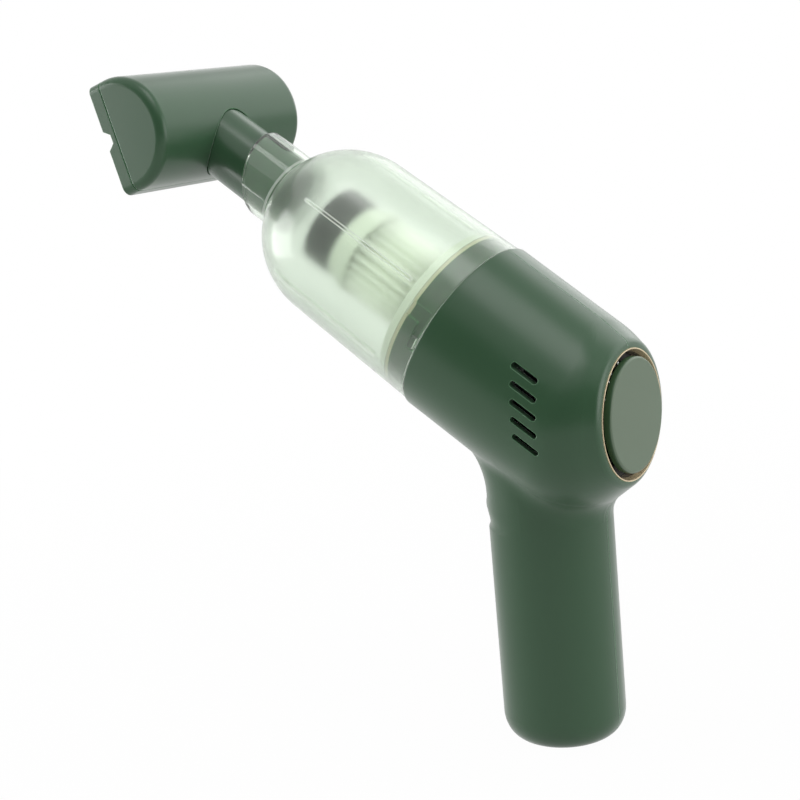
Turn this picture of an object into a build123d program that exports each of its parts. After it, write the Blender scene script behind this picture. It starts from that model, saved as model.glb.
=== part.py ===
from build123d import *
import os
from math import cos, hypot, radians, sin, tan

os.makedirs("parts", exist_ok=True)

# Handheld vacuum cleaner: a tilted barrel on an upright handle, a clear dust cup that twists
# off the front of the barrel, and a wide head on a tube that pulls out of the cup.
# Millimetres, +Z up along the handle, the nozzle points to -X, the origin is the middle of the foot.
# A name that ends in _s is a distance along the barrel's axis, forward from the tail plane.

# Barrel and tail
barrel_r = 33.0
barrel_taper = 0.5
barrel_tail_r = barrel_r - barrel_taper
barrel_tilt = 34.5
barrel_axis_z = 103.35
barrel_len = 74.3
tail_x = 33.5
tail_z = 117.2
tail_cone_step = 9.0
tail_cone_r = barrel_r - tail_cone_step
tail_cone_angle = 38.5
tail_cone_run = 8.0
tail_band = 8.5
tail_nose_up = 1.5
tail_shoulder = barrel_r * 2 / 3
tail_edge_round = 3.5
collar_edge_round = 0.5

# Handle
handle_r = 21.58
handle_foot_r = 14.7
handle_foot_rise = 9.3
handle_bottom_z = 0.4
flare_start_z = 89.6
flare_radius = 22.0
flare_turn = 50.0
flare_steps = 7
flare_run_on = 4.0
flare_run_on_reach = 3.4
flare_end = 9.0
flare_end_reach = 5.4
stem_setback = 12.0
stem_overlap = 6.0
junction_round = 10.0
junction_low = 9.6
junction_high = 14.65
junction_reach = 18.0
junction_rear = 0.42

# Walls, and the gaps between pieces that move or are pressed together
wall = 2.4
tail_wall = 3.6
rib_thick = 1.6
parting_gap = 0.12
loose = 0.3
snug = 0.06

# Side vents
vent_count = 5
vent_len = 10.8
vent_width = 2.1
vent_pitch = 5.76
vent_x = 10.65
vent_z = 125.15

# Exhaust at the tail
exhaust_rim = 1.75
exhaust_hole_r = tail_cone_r - exhaust_rim
exhaust_collar = 3.2
exhaust_depth = 6.2
exhaust_trim_wall = 1.3
exhaust_trim_proud = 0.3
exhaust_flange = 1.2
exhaust_ledge = 2.3
grille_thick = 1.5
grille_rim = 3.4
grille_hub_r = 6.0
grille_spokes = 12
grille_spoke_width = 1.6
cover_slot = 2.85
cover_r = exhaust_hole_r - cover_slot
cover_proud = 1.9
cover_thick = 2.6
cover_edge_round = 0.9
cover_stem_r = 5.0
cover_pin_r = 2.5

# Spigot that carries the dust cup
spigot_step = 2.8
spigot_r = barrel_r - spigot_step
spigot_nose = 8.8
spigot_back = 10.2
spigot_wall = 2.6
spigot_web = 2.0
spigot_web_hole_r = 10.0
spigot_flange_step = 1.5
spigot_flange_r = barrel_r - spigot_flange_step
spigot_flange_thick = 2.2
filter_seat_r = 24.1
filter_seat_len = 8.2
seal_thick = 1.2
seal_wall = 4.0

# Bayonet: lugs in the cup's skirt, hooked grooves round the spigot
skirt_gap = 0.35
lug_count = 3
lug_angle = -92.0
lug_width_deg = 8.0
lug_len = 2.0
lug_height = 1.2
lug_from_rim = 1.6
twist_deg = 18.0
groove_gap = 0.4
groove_gap_deg = 0.8

# Dust cup
cup_step = 0.65
cup_r = barrel_r - cup_step
cup_narrowing = 1.0
cup_front_r = cup_r - cup_narrowing
cup_edge_round = 0.35
cup_front_s = 131.0
cup_wall = 1.9
dome_end_r = 15.9
dome_end_s = 158.2
neck_r = 14.57
neck_rim_s = 172.7
neck_slant = 21.2
key_slot_s = 166.9
key_slot_width = 5.0
cup_rib_count = 6
cup_rib_width = 1.1
cup_rib_height = 0.6
cup_rib_start_s = 89.0
cup_rib_end_s = 139.0
cup_rib_drop = 0.95

# Filter
filter_flange_step = 1.4
filter_flange_r = spigot_r - filter_flange_step
filter_flange_thick = 3.2
filter_plug_len = 8.2
filter_plug_wall = 2.0
cage_r = 10.3
cage_wall = 1.0
cage_slots = 3
cage_slot_width = 7.0
cage_slot_margin = 4.0
pleat_r = 15.9
pleat_depth = 3.4
pleat_paper = 1.0
pleat_count = 28
pleat_len = 31.0
end_ring_thick = 3.0
end_ring_r = 16.2
filter_cap_r = 14.8
filter_cap_len = 17.0
filter_cap_wall = 2.0
filter_grip_thick = 2.4
filter_grip_setback = 1.0

# Tube and head
tube_r = 12.68
tube_wall = 1.8
tube_start_s = 160.0
tube_key_height = 0.8
tube_key_end_s = 177.0
tube_seam_width = 0.3
tube_seam_depth = 0.6
head_s = 211.2
head_drop = 2.7
head_r = 20.65
head_half_width = 40.4
head_pitch = 17.0
head_front = 1.25
head_wall = 2.3
head_end_round = 3.2
frame_front = 6.6
frame_rim = 4.4
frame_plug = 3.0
frame_plug_wall = 1.6
shadow_gap_width = 0.4
shadow_gap_depth = 0.5
mouth_bar_y = 12.5
mouth_bar_width = 2.0
mouth_bar_depth = 3.0
mouth_bar_setback = 1.2
notch_mouth = 8.7
notch_floor = 3.2
notch_depth = 2.9
lint_width = 2.4
lint_depth = 0.8
lint_proud = 0.8
lint_end_gap = 9.0

# Motor and fan on the barrel's axis
motor_setback = 50.3
motor_r = 14.0
motor_len = 22.0
motor_skin = 1.2
motor_face = 1.6
bell_len = 4.0
bell_face = 1.5
bell_hub_r = 6.0
bearing_r = 4.0
bearing_len = 2.4
shaft_r = 1.5
shaft_gap = 0.05
shaft_tail = 4.4
shaft_nose = 34.0
magnet_thick = 1.5
magnet_arc_deg = 130.0
magnet_len = 15.0
magnet_setback = 3.0
armature_gap = 0.6
armature_len = 13.0
armature_setback = 4.0
shroud_setback = 16.0
shroud_step = 6.0
shroud_r = barrel_r - shroud_step
shroud_wall = 1.6
shroud_len = 21.0
inlet_r = 9.5
fan_setback = 9.2
fan_r = 22.5
fan_plate = 1.4
fan_len = 9.0
fan_hub_r = 4.2
fan_blades = 9
fan_blade_thick = 1.0
fan_sweep_deg = 42.0
diffuser_setback = 0.6
diffuser_plate = 2.0
diffuser_plate_r = 23.4
diffuser_vane_len = 5.4
diffuser_vanes = 8
diffuser_vane_thick = 1.2
diffuser_hole_r = 4.8
gasket_r = 20.0
gasket_wall = 4.0
motor_screw_r = 1.0
motor_screw_head_r = 1.9
motor_screw_head = 1.0
motor_screw_reach = 9.0
motor_screw_len = 4.4

# Foot, charging port and charge board
foot_r = 14.0
foot_lip_z = 2.4
foot_flange_r = 17.0
foot_flange_thick = 1.5
foot_ring_r = 13.0
foot_ring_wall = 1.6
port_x = 7.2
port_width = 8.9
port_height = 3.2
port_skin = 0.35
port_recess = 0.8
port_top_z = 6.4
port_tongue_thick = 0.7
port_tongue_width = 6.6
board_thick = 1.6
charge_board_r = 13.5

# Cells
cell_r = 9.2
cell_len = 65.0
cell_gap = 0.2
cell_z = 11.4
tab_thick = 0.3
tab_width = 8.0
holder_thick = 1.2
holder_vent_r = 3.0
holder_vent_y = 11.6
holder_notch_depth = 2.8
holder_notch_width = 11.0
cell_ledge = 4.0

# Control board across the top of the handle
control_ledge_z = 88.6
control_ledge = 3.0
control_board_side = 26.0
part_place = 7.0
capacitor_r = 3.0
capacitor_len = 8.0
chip_side = 5.0
chip_thick = 1.2

# Power button and its switch
button_z = 84.0
button_r = 6.0
button_proud = 0.7
button_edge_round = 0.6
button_flange_r = 6.9
button_flange_thick = 1.3
button_seat_x = -18.9
button_stem_r = 2.0
button_travel = 0.8
plunger_r = 1.5
plunger_len = 2.6
switch_side = 6.2
switch_height = 3.4
switch_board_x = -10.5
switch_board_width = 17.0
switch_board_tall = 12.0
switch_slot_depth = 2.0

# Screws that close the body
screw_r = 1.45
screw_head_r = 2.7
screw_head_len = 2.0
screw_socket_r = 1.2
screw_socket_depth = 1.2
screw_grip = 6.0
screw_bite = 8.0
boss_r = 3.6
boss_setback = 5.0
boss_stagger = 1.0
boss_gap_over = 4.5
boss_gap_under = 5.0
boss_gap_cells = 3.0
boss_side = 0.4

# Larger than the whole object, for cutting tools
big = 200.0

# The barrel's frame: up and back from its axis, and forward along it
TILT_COS = cos(radians(barrel_tilt))
TILT_SIN = sin(radians(barrel_tilt))
FORWARD = (-TILT_COS, 0, TILT_SIN)
UPWARD = (TILT_SIN, 0, TILT_COS)
BARREL = Plane(origin=(tail_x, 0, barrel_axis_z), x_dir=UPWARD, z_dir=(0, -1, 0))
BARREL_AXIS = Axis((tail_x, 0, barrel_axis_z), FORWARD)

# The tail's frame: its cone points back and a little down
TAIL = Plane(
    origin=(tail_x, 0, tail_z),
    x_dir=(sin(radians(tail_nose_up)), 0, cos(radians(tail_nose_up))),
    z_dir=(0, -1, 0),
)
TAIL_AXIS = Axis((tail_x, 0, tail_z), (-cos(radians(tail_nose_up)), 0, sin(radians(tail_nose_up))))
EXHAUST = Plane(origin=(tail_x, 0, tail_z), x_dir=(0, 1, 0), z_dir=(1, 0, 0))

# The head's frame: HEAD shows its section, MOUTH looks out of its mouth
HEAD_X = tail_x - head_s * TILT_COS - head_drop * TILT_SIN
HEAD_Z = barrel_axis_z + head_s * TILT_SIN - head_drop * TILT_COS
MOUTH_OUT = (-cos(radians(head_pitch)), 0, -sin(radians(head_pitch)))
HEAD = Plane(origin=(HEAD_X, 0, HEAD_Z), x_dir=MOUTH_OUT, z_dir=(0, 1, 0))
MOUTH = Plane(origin=(HEAD_X, 0, HEAD_Z), x_dir=(0, 1, 0), z_dir=MOUTH_OUT)

# Places worked out from the sizes above
skirt_r = spigot_r + skirt_gap
rim_s = barrel_len + loose
spigot_back_s = barrel_len - spigot_back
spigot_flange_s = spigot_back_s + spigot_web
spigot_end_s = barrel_len + spigot_nose
seal_end_s = spigot_end_s + seal_thick
flange_s = seal_end_s + loose
flange_end_s = flange_s + filter_flange_thick
pleat_end_s = flange_end_s + pleat_len
cap_s = pleat_end_s + end_ring_thick
lug_s = rim_s + lug_from_rim
motor_s = barrel_len - motor_setback
shaft_tail_s = motor_s - shaft_tail
shaft_nose_s = motor_s + shaft_nose
magnet_s = motor_s + magnet_setback
armature_s = motor_s + armature_setback
shroud_s = motor_s + shroud_setback
fan_s = shroud_s + fan_setback
diffuser_s = shroud_s + diffuser_setback
shroud_end_s = shroud_s + shroud_len
motor_end_s = motor_s + motor_len
plate_s = diffuser_s + diffuser_vane_len
cell_x = cell_r + cell_gap / 2
cell_top_z = cell_z + cell_len
cell_ledge_z = cell_z - tab_thick - holder_thick - rib_thick
button_face_x = -handle_r - button_proud
neck_bore_r = tube_r + loose


def across(s):
    """Plane square to the barrel at s: x is up, y is +Y, the normal points forward."""
    origin = (tail_x - s * TILT_COS, 0, barrel_axis_z + s * TILT_SIN)
    return Plane(origin=origin, x_dir=UPWARD, z_dir=FORWARD)


def beside_axis(s, up):
    """World x and z of a point in the symmetry plane, s along the barrel and up from its axis."""
    x = tail_x - s * TILT_COS + up * TILT_SIN
    z = barrel_axis_z + s * TILT_SIN + up * TILT_COS
    return x, z


def polar(radius, angle_deg):
    """Point at a radius and an angle."""
    return radius * cos(radians(angle_deg)), radius * sin(radians(angle_deg))


def write(piece, name):
    """Label a finished piece and write it as a STEP file."""
    piece.label = name
    export_step(piece, f"parts/{name}.step")


def disc(s, length, r_out, r_in=0.0):
    """Round plate or sleeve on the barrel's axis."""
    with BuildPart() as made:
        with BuildSketch(across(s)):
            Circle(r_out)
            if r_in > 0:
                Circle(r_in, mode=Mode.SUBTRACT)
        extrude(amount=length)
    return made.part


def turned(points):
    """Solid of revolution about the barrel's axis from (radius, s) points."""
    with BuildPart() as made:
        with BuildSketch(BARREL):
            with BuildLine():
                Polyline([(-r, s) for r, s in points], close=True)
            make_face()
        revolve(axis=BARREL_AXIS)
    return made.part


def sector(s, length, r_in, r_out, start_deg, span_deg):
    """Curved block between two radii; its angle counts from straight up toward +Y."""
    end_deg = start_deg + span_deg
    with BuildPart() as made:
        with BuildSketch(across(s)):
            with BuildLine():
                CenterArc((0, 0), r_out, start_deg, span_deg)
                CenterArc((0, 0), r_in, start_deg, span_deg)
                Line(polar(r_in, start_deg), polar(r_out, start_deg))
                Line(polar(r_in, end_deg), polar(r_out, end_deg))
            make_face()
        extrude(amount=length)
    return made.part


def barrel_form(share):
    """Tapered barrel with the tail's cone and rounded shoulder, drawn in by a share of the wall."""
    inset = share * wall
    back_inset = share * tail_wall
    slope = tan(radians(tail_cone_angle))
    taper = (barrel_r - barrel_tail_r) / barrel_len
    low_s = -big / 4
    front_s = barrel_len + share
    cone_r = tail_cone_r - back_inset / cos(radians(tail_cone_angle))
    with BuildPart() as form:
        with BuildSketch(BARREL):
            with BuildLine():
                Polyline(
                    (0, low_s), (inset - barrel_tail_r - taper * low_s, low_s),
                    (inset - barrel_r, front_s), (0, front_s), close=True,
                )
            make_face()
        revolve(axis=BARREL_AXIS)
        with BuildSketch(TAIL):
            with BuildLine():
                Polyline(
                    (0, -tail_cone_run), (tail_cone_run * slope - cone_r, -tail_cone_run), (-cone_r - big * slope, big), (0, big),
                    close=True,
                )
            make_face()
        revolve(axis=TAIL_AXIS, mode=Mode.INTERSECT)
        with BuildSketch(EXHAUST.offset(-back_inset)):
            Rectangle(2 * big, 2 * big)
        extrude(amount=big, mode=Mode.SUBTRACT)
        tail_edges = form.faces().sort_by(Axis.X)[-1].edges()
        shoulder = [
            edge for edge in form.edges()
            if edge not in tail_edges and edge.bounding_box().max.X > tail_x - back_inset - tail_band
        ]
        fillet(ShapeList(shoulder), tail_shoulder - inset)
    return form.part


def handle_form(share):
    """Round handle with its rounded lower end, and the flare that sweeps under the barrel."""
    inset = share * wall
    radius = handle_r - inset
    foot_r = handle_foot_r - inset
    bottom_z = handle_bottom_z + inset
    rise = handle_foot_rise - inset / 2
    stem_top_z = flare_start_z - stem_setback
    sections = [(stem_top_z, radius), (stem_top_z + stem_overlap, radius)]
    for step in range(flare_steps + 1):
        turn = radians(flare_turn * step / flare_steps)
        z = flare_start_z + flare_radius * sin(turn)
        sections.append((z, radius + flare_radius * (1 - cos(turn))))
    top_z, reach = sections[-1]
    sections.append((top_z + flare_run_on, reach + flare_run_on_reach))
    sections.append((top_z + flare_end, reach + flare_end_reach))
    with BuildPart() as form:
        for z, front in sections:
            with BuildSketch(Plane.XY.offset(z)):
                with BuildLine():
                    EllipticalCenterArc((0, 0), front, radius, start_angle=90, arc_size=180)
                    EllipticalCenterArc((0, 0), radius, radius, start_angle=-90, arc_size=180)
                make_face()
        loft()
        with BuildSketch(Plane.XZ):
            with BuildLine():
                Line((0, bottom_z), (-foot_r, bottom_z))
                EllipticalCenterArc(
                    (-foot_r, bottom_z + rise), radius - foot_r, rise, start_angle=180, arc_size=90
                )
                Polyline(
                    (-radius, bottom_z + rise), (-radius, stem_top_z), (0, stem_top_z), (0, bottom_z),
                )
            make_face()
        revolve(axis=Axis.Z)
    return form.part


# Outer form of the body: tail edge and collar edge first, then the handle's blend
with BuildPart() as body_blank:
    add(barrel_form(0))
    fillet(body_blank.faces().sort_by(Axis.X)[-1].edges(), tail_edge_round)
    fillet(body_blank.faces().filter_by(GeomType.PLANE).sort_by(BARREL_AXIS)[-1].edges(), collar_edge_round)


def is_junction(edge):
    """True for an edge where the handle's skin runs into the barrel's."""
    span = edge.bounding_box()
    middle = edge @ 0.5
    level = span.min.Z > flare_start_z - junction_low and span.max.Z < barrel_axis_z + junction_high
    leans = span.max.X - span.min.X > 0.05 and edge.length > 0.01
    near = hypot(middle.X, middle.Y) <= handle_r + junction_reach and span.max.X < handle_r + junction_rear
    return level and leans and near


with BuildPart() as body_skin:
    add(handle_form(0))
    add(body_blank.part)
    fillet(body_skin.edges().filter_by(is_junction), junction_round)

# Hollow of the body, and a slightly larger form that ends the ribs inside the wall
with BuildPart() as hollow:
    add(barrel_form(1))
    add(handle_form(1))
with BuildPart() as rib_limit:
    add(barrel_form(0.6))
    add(handle_form(0.6))

# Bosses as (x, z): one over the motor, one under it, one over the cells
boss_places = [
    beside_axis(motor_s + boss_setback, motor_r + boss_r + boss_gap_over),
    beside_axis(motor_s + boss_setback + boss_stagger, -(motor_r + boss_r + boss_gap_under)),
    (handle_r * boss_side, cell_top_z + boss_r + boss_gap_cells),
]

# Ribs, ledges, bosses and the collar round the exhaust
with BuildPart() as shell_ribs:
    add(disc(shroud_end_s, rib_thick, barrel_r, shroud_r - 2))
    add(disc(shroud_s + rib_thick, rib_thick, barrel_r, shroud_r + snug))
    with BuildSketch(Plane.XY.offset(cell_ledge_z)):
        Circle(handle_r)
        Circle(handle_r - wall - cell_ledge, mode=Mode.SUBTRACT)
    extrude(amount=rib_thick)
    with BuildSketch(Plane.XY.offset(control_ledge_z)):
        Circle(handle_r)
        Circle(handle_r - wall - control_ledge, mode=Mode.SUBTRACT)
    extrude(amount=rib_thick)
    with BuildSketch(EXHAUST.offset(-exhaust_depth)):
        Circle(exhaust_hole_r + exhaust_collar)
    extrude(amount=exhaust_depth - tail_edge_round)
    for boss_x, boss_z in boss_places:
        with BuildSketch(Plane.XZ):
            with Locations((boss_x, boss_z)):
                Circle(boss_r)
        extrude(amount=barrel_r, both=True)
    for side in (-1, 1):
        with Locations((switch_board_x + board_thick / 2, side * switch_board_width / 2, button_z)):
            Box(3 * board_thick, 2 * switch_slot_depth, switch_board_tall - 4)
        with Locations((switch_board_x + board_thick / 2, side * handle_r * 0.6, button_z)):
            Box(3 * board_thick, handle_r * 0.5, switch_board_tall - 4)
    add(rib_limit.part, mode=Mode.INTERSECT)

with BuildPart() as shell:
    add(body_skin.part)
    add(hollow.part, mode=Mode.SUBTRACT)
    add(shell_ribs.part)
    # exhaust hole, spigot groove, foot seat, button hole and its inner seat
    with BuildSketch(EXHAUST.offset(-exhaust_depth - 1)):
        Circle(exhaust_hole_r)
    extrude(amount=exhaust_depth + 10, mode=Mode.SUBTRACT)
    add(
        disc(spigot_flange_s - snug, spigot_flange_thick + 2 * snug, spigot_flange_r + snug),
        mode=Mode.SUBTRACT,
    )
    with BuildSketch(Plane.XY.offset(-1)):
        Circle(foot_r + snug)
    extrude(amount=foot_lip_z + 2, mode=Mode.SUBTRACT)
    with BuildSketch(Plane.XY.offset(foot_lip_z)):
        Circle(foot_flange_r + snug)
    extrude(amount=foot_flange_thick + snug, mode=Mode.SUBTRACT)
    with BuildSketch(Plane.YZ.offset(-barrel_r)):
        with Locations((0, button_z)):
            Circle(button_r + loose)
    extrude(amount=barrel_r - handle_r / 2, mode=Mode.SUBTRACT)
    with BuildSketch(Plane.YZ.offset(button_seat_x)):
        with Locations((0, button_z)):
            Circle(button_flange_r + loose)
    extrude(amount=handle_r / 3, mode=Mode.SUBTRACT)
    # slot for the switch board
    with Locations((switch_board_x + board_thick / 2, 0, button_z)):
        Box(board_thick + 2 * snug, switch_board_width + 2 * snug, switch_board_tall + 2 * snug,
            mode=Mode.SUBTRACT)
    # vents on both sides
    with BuildSketch(Plane.XZ):
        for row in range(vent_count):
            rise = vent_pitch * (row - (vent_count - 1) / 2)
            with Locations((vent_x, vent_z + rise)):
                SlotOverall(vent_len, vent_width, rotation=-barrel_tilt)
    extrude(amount=barrel_r + 5, both=True, mode=Mode.SUBTRACT)
    # screws: blind in the near half, through a seat and a counterbore in the far one
    for boss_x, boss_z in boss_places:
        with BuildSketch(Plane.XZ.offset(screw_bite + 1)):
            with Locations((boss_x, boss_z)):
                Circle(screw_r + snug)
        extrude(amount=-(screw_bite + screw_grip + 2), mode=Mode.SUBTRACT)
        with BuildSketch(Plane.XZ.offset(-screw_grip)):
            with Locations((boss_x, boss_z)):
                Circle(screw_head_r + snug)
        extrude(amount=-barrel_r - 5, mode=Mode.SUBTRACT)

with BuildPart() as shell_near:
    add(shell.part)
    with Locations((0, big - parting_gap / 2, 0)):
        Box(2 * big, 2 * big, 3 * big, mode=Mode.SUBTRACT)
write(shell_near.part, "shell_near")

with BuildPart() as shell_far:
    add(shell.part)
    with Locations((0, parting_gap / 2 - big, 0)):
        Box(2 * big, 2 * big, 3 * big, mode=Mode.SUBTRACT)
write(shell_far.part, "shell_far")

# Screws that close the body, one node of separate solids
with BuildPart() as shell_screws:
    for boss_x, boss_z in boss_places:
        with BuildSketch(Plane.XZ.offset(-screw_grip)):
            with Locations((boss_x, boss_z)):
                Circle(screw_head_r)
        extrude(amount=-screw_head_len)
        with BuildSketch(Plane.XZ.offset(-screw_grip)):
            with Locations((boss_x, boss_z)):
                Circle(screw_r)
        extrude(amount=screw_grip + screw_bite)
        with BuildSketch(Plane.XZ.offset(-screw_grip - screw_head_len)):
            with Locations((boss_x, boss_z)):
                RegularPolygon(screw_socket_r, 6)
        extrude(amount=screw_socket_depth, mode=Mode.SUBTRACT)
write(shell_screws.part, "shell_screws")

# Spigot with its inner seat for the filter and three hooked grooves
groove_r = skirt_r - lug_height - groove_gap
groove_start_deg = lug_angle - lug_width_deg / 2 - groove_gap_deg
entry_deg = lug_width_deg + 2 * groove_gap_deg
with BuildPart() as grooves:
    for lug in range(lug_count):
        turn = groove_start_deg + lug * 360 / lug_count
        add(sector(lug_s - groove_gap, lug_len + 2 * groove_gap, groove_r, barrel_r, turn,
                   entry_deg + twist_deg))
        add(sector(lug_s - groove_gap, 2 * spigot_nose, groove_r, barrel_r, turn + twist_deg, entry_deg))
with BuildPart() as spigot_ring:
    bore = spigot_r - spigot_wall
    seat_s = spigot_end_s - filter_seat_len
    add(turned([
        (spigot_web_hole_r, spigot_back_s), (spigot_r, spigot_back_s),
        (spigot_r, spigot_flange_s), (spigot_flange_r, spigot_flange_s),
        (spigot_flange_r, spigot_flange_s + spigot_flange_thick),
        (spigot_r, spigot_flange_s + spigot_flange_thick),
        (spigot_r, spigot_end_s), (filter_seat_r, spigot_end_s), (filter_seat_r, seat_s),
        (bore, seat_s - (bore - filter_seat_r)), (bore, spigot_flange_s),
        (spigot_web_hole_r, spigot_flange_s),
    ]))
    add(grooves.part, mode=Mode.SUBTRACT)
write(spigot_ring.part, "spigot_ring")

with BuildPart() as cup_seal:
    add(disc(spigot_end_s, seal_thick, spigot_r, spigot_r - seal_wall))
    add(grooves.part, mode=Mode.SUBTRACT)
write(cup_seal.part, "cup_seal")

# Dust cup: skirt, tapered wall, dome and neck, with ribs and lugs on the inside
cup_taper = (cup_r - cup_front_r) / (cup_front_s - rim_s)
wall_top_r = cup_front_r - cup_wall
wall_low_r = wall_top_r + cup_taper * (cup_front_s - seal_end_s)
with BuildPart() as cup_ribs:
    with BuildSketch(BARREL):
        with BuildLine():
            Polyline(
                (-(wall_low_r - cup_rib_height), cup_rib_start_s),
                (-(wall_top_r - cup_rib_height), cup_front_s),
                (-(wall_top_r - cup_rib_height - cup_rib_drop), cup_rib_end_s),
                (-(wall_top_r + cup_wall / 2 - cup_rib_drop), cup_rib_end_s),
                (-(wall_top_r + cup_wall / 2), cup_front_s),
                (-(wall_low_r + cup_wall / 2), cup_rib_start_s),
                close=True,
            )
        make_face()
    revolve(axis=BARREL_AXIS)
    with BuildSketch(across(cup_rib_start_s)):
        for rib in range(cup_rib_count // 2):
            Rectangle(3 * cup_r, cup_rib_width, rotation=rib * 360 / cup_rib_count)
    extrude(amount=cup_rib_end_s - cup_rib_start_s, mode=Mode.INTERSECT)

with BuildPart() as dust_cup:
    with BuildSketch(BARREL) as cup_profile:
        with BuildLine():
            Polyline((-skirt_r, rim_s), (-cup_r, rim_s), (-cup_front_r, cup_front_s))
            TangentArc((-cup_front_r, cup_front_s), (-dome_end_r, dome_end_s), tangent=(cup_taper, 1))
            Polyline(
                (-dome_end_r, dome_end_s), (-neck_r, dome_end_s), (-neck_r, neck_rim_s + neck_r),
                (-neck_bore_r, neck_rim_s + neck_r), (-neck_bore_r, dome_end_s),
            )
            TangentArc((-wall_top_r, cup_front_s), (-neck_bore_r, dome_end_s), tangent=(cup_taper, 1))
            Polyline(
                (-wall_top_r, cup_front_s), (-wall_low_r, seal_end_s), (-skirt_r, seal_end_s),
                (-skirt_r, rim_s),
            )
        make_face()
        sharp = [(-cup_r, rim_s), (-dome_end_r, dome_end_s), (-neck_r, dome_end_s)]
        corners = [
            vertex for vertex in cup_profile.vertices()
            if min(hypot(vertex.X - x, vertex.Y - y) for x, y in sharp) < snug
        ]
        fillet(ShapeList(corners), cup_edge_round)
    revolve(axis=BARREL_AXIS)
    add(cup_ribs.part)
    for lug in range(lug_count):
        turn = lug_angle - lug_width_deg / 2 + lug * 360 / lug_count
        add(sector(lug_s, lug_len, skirt_r - lug_height, (skirt_r + cup_r) / 2, turn, lug_width_deg))
    slant = radians(neck_slant)
    rim_x, rim_z = beside_axis(neck_rim_s, 0)
    rim_out = (
        FORWARD[0] * cos(slant) - UPWARD[0] * sin(slant), 0,
        FORWARD[2] * cos(slant) - UPWARD[2] * sin(slant),
    )
    with BuildSketch(Plane(origin=(rim_x, 0, rim_z), x_dir=(0, 1, 0), z_dir=rim_out)):
        Rectangle(4 * neck_r, 4 * neck_r)
    extrude(amount=3 * neck_r, mode=Mode.SUBTRACT)
    slot_x, slot_z = beside_axis(key_slot_s, 0)
    with BuildSketch(Plane(origin=(slot_x, 0, slot_z), x_dir=FORWARD, z_dir=UPWARD)):
        with Locations((neck_r, 0)):
            SlotOverall(2 * neck_r, key_slot_width)
    extrude(amount=tube_r + tube_key_height + loose, mode=Mode.SUBTRACT)
write(dust_cup.part, "dust_cup")

# Filter: plug, flange and cage, pleated paper, end ring and cap with a grip
cage_in = cage_r - cage_wall
plug_r = filter_seat_r - loose
with BuildPart() as filter_frame:
    add(turned([
        (cage_in, flange_s), (plug_r - filter_plug_wall, flange_s),
        (plug_r - filter_plug_wall, flange_s - filter_plug_len), (plug_r, flange_s - filter_plug_len),
        (plug_r, flange_s), (filter_flange_r, flange_s), (filter_flange_r, flange_end_s),
        (cage_r, flange_end_s), (cage_r, pleat_end_s), (cage_in, pleat_end_s),
    ]))
    with BuildSketch(across(flange_end_s + cage_slot_margin)):
        for slot in range(cage_slots):
            Rectangle(4 * cage_r, cage_slot_width, rotation=slot * 180 / cage_slots)
    extrude(amount=pleat_len - 2 * cage_slot_margin, mode=Mode.SUBTRACT)
write(filter_frame.part, "filter_frame")


def star(peak_r, valley_r):
    """Zigzag outline of the pleats."""
    corners = []
    for step in range(2 * pleat_count):
        corners.append(polar(peak_r if step % 2 == 0 else valley_r, 180 * step / pleat_count))
    return corners


with BuildPart() as filter_pleats:
    with BuildSketch(across(flange_end_s)):
        with BuildLine():
            Polyline(star(pleat_r, pleat_r - pleat_depth), close=True)
        make_face()
        with BuildLine():
            Polyline(star(pleat_r - pleat_paper, pleat_r - pleat_depth - pleat_paper), close=True)
        make_face(mode=Mode.SUBTRACT)
    extrude(amount=pleat_len)
write(filter_pleats.part, "filter_pleats")

with BuildPart() as filter_end_ring:
    add(disc(pleat_end_s, end_ring_thick, end_ring_r))
write(filter_end_ring.part, "filter_end_ring")

with BuildPart() as filter_cap:
    add(disc(cap_s, filter_cap_len, filter_cap_r))
    add(disc(cap_s + filter_cap_wall, filter_cap_len, filter_cap_r - filter_cap_wall), mode=Mode.SUBTRACT)
    with BuildSketch(across(cap_s + filter_cap_wall)):
        Rectangle(2 * filter_cap_r - filter_cap_wall, filter_grip_thick)
    extrude(amount=filter_cap_len - filter_cap_wall - filter_grip_setback)
write(filter_cap.part, "filter_cap")


def head_form(radius, half_width, front):
    """Section of the head, round at the back and straight toward the mouth, run across it."""
    with BuildPart() as form:
        with BuildSketch(HEAD):
            with BuildLine():
                Polyline((0, -radius), (front, -radius), (front, radius), (0, radius))
                CenterArc((0, 0), radius, 90, 180)
            make_face()
        extrude(amount=half_width, both=True)
    return form.part


head_inner_r = head_r - head_wall
head_inner_half = head_half_width - head_wall

# Head tube with its key, cut back to the inside of the head
tube_len = head_s - tube_start_s - head_r / 3
with BuildPart() as head_tube:
    add(disc(tube_start_s, tube_len, tube_r, tube_r - tube_wall))
    key_width = key_slot_width - 2 * loose
    key_s = key_slot_s + loose
    key_x, key_z = beside_axis(key_s, tube_r - tube_wall / 2)
    with BuildSketch(Plane(origin=(key_x, 0, key_z), x_dir=FORWARD, z_dir=UPWARD)):
        with Locations(((tube_key_end_s - key_s) / 2, 0)):
            SlotOverall(tube_key_end_s - key_s, key_width)
    extrude(amount=tube_wall / 2 + tube_key_height)
    add(head_form(head_inner_r, head_half_width, head_r), mode=Mode.SUBTRACT)
write(head_tube.part, "head_tube")

with BuildPart() as tube_seam:
    add(disc(tube_start_s, tube_len, tube_r + tube_seam_width))
    add(head_form(head_r - tube_seam_depth, head_half_width, head_r), mode=Mode.SUBTRACT)

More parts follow.
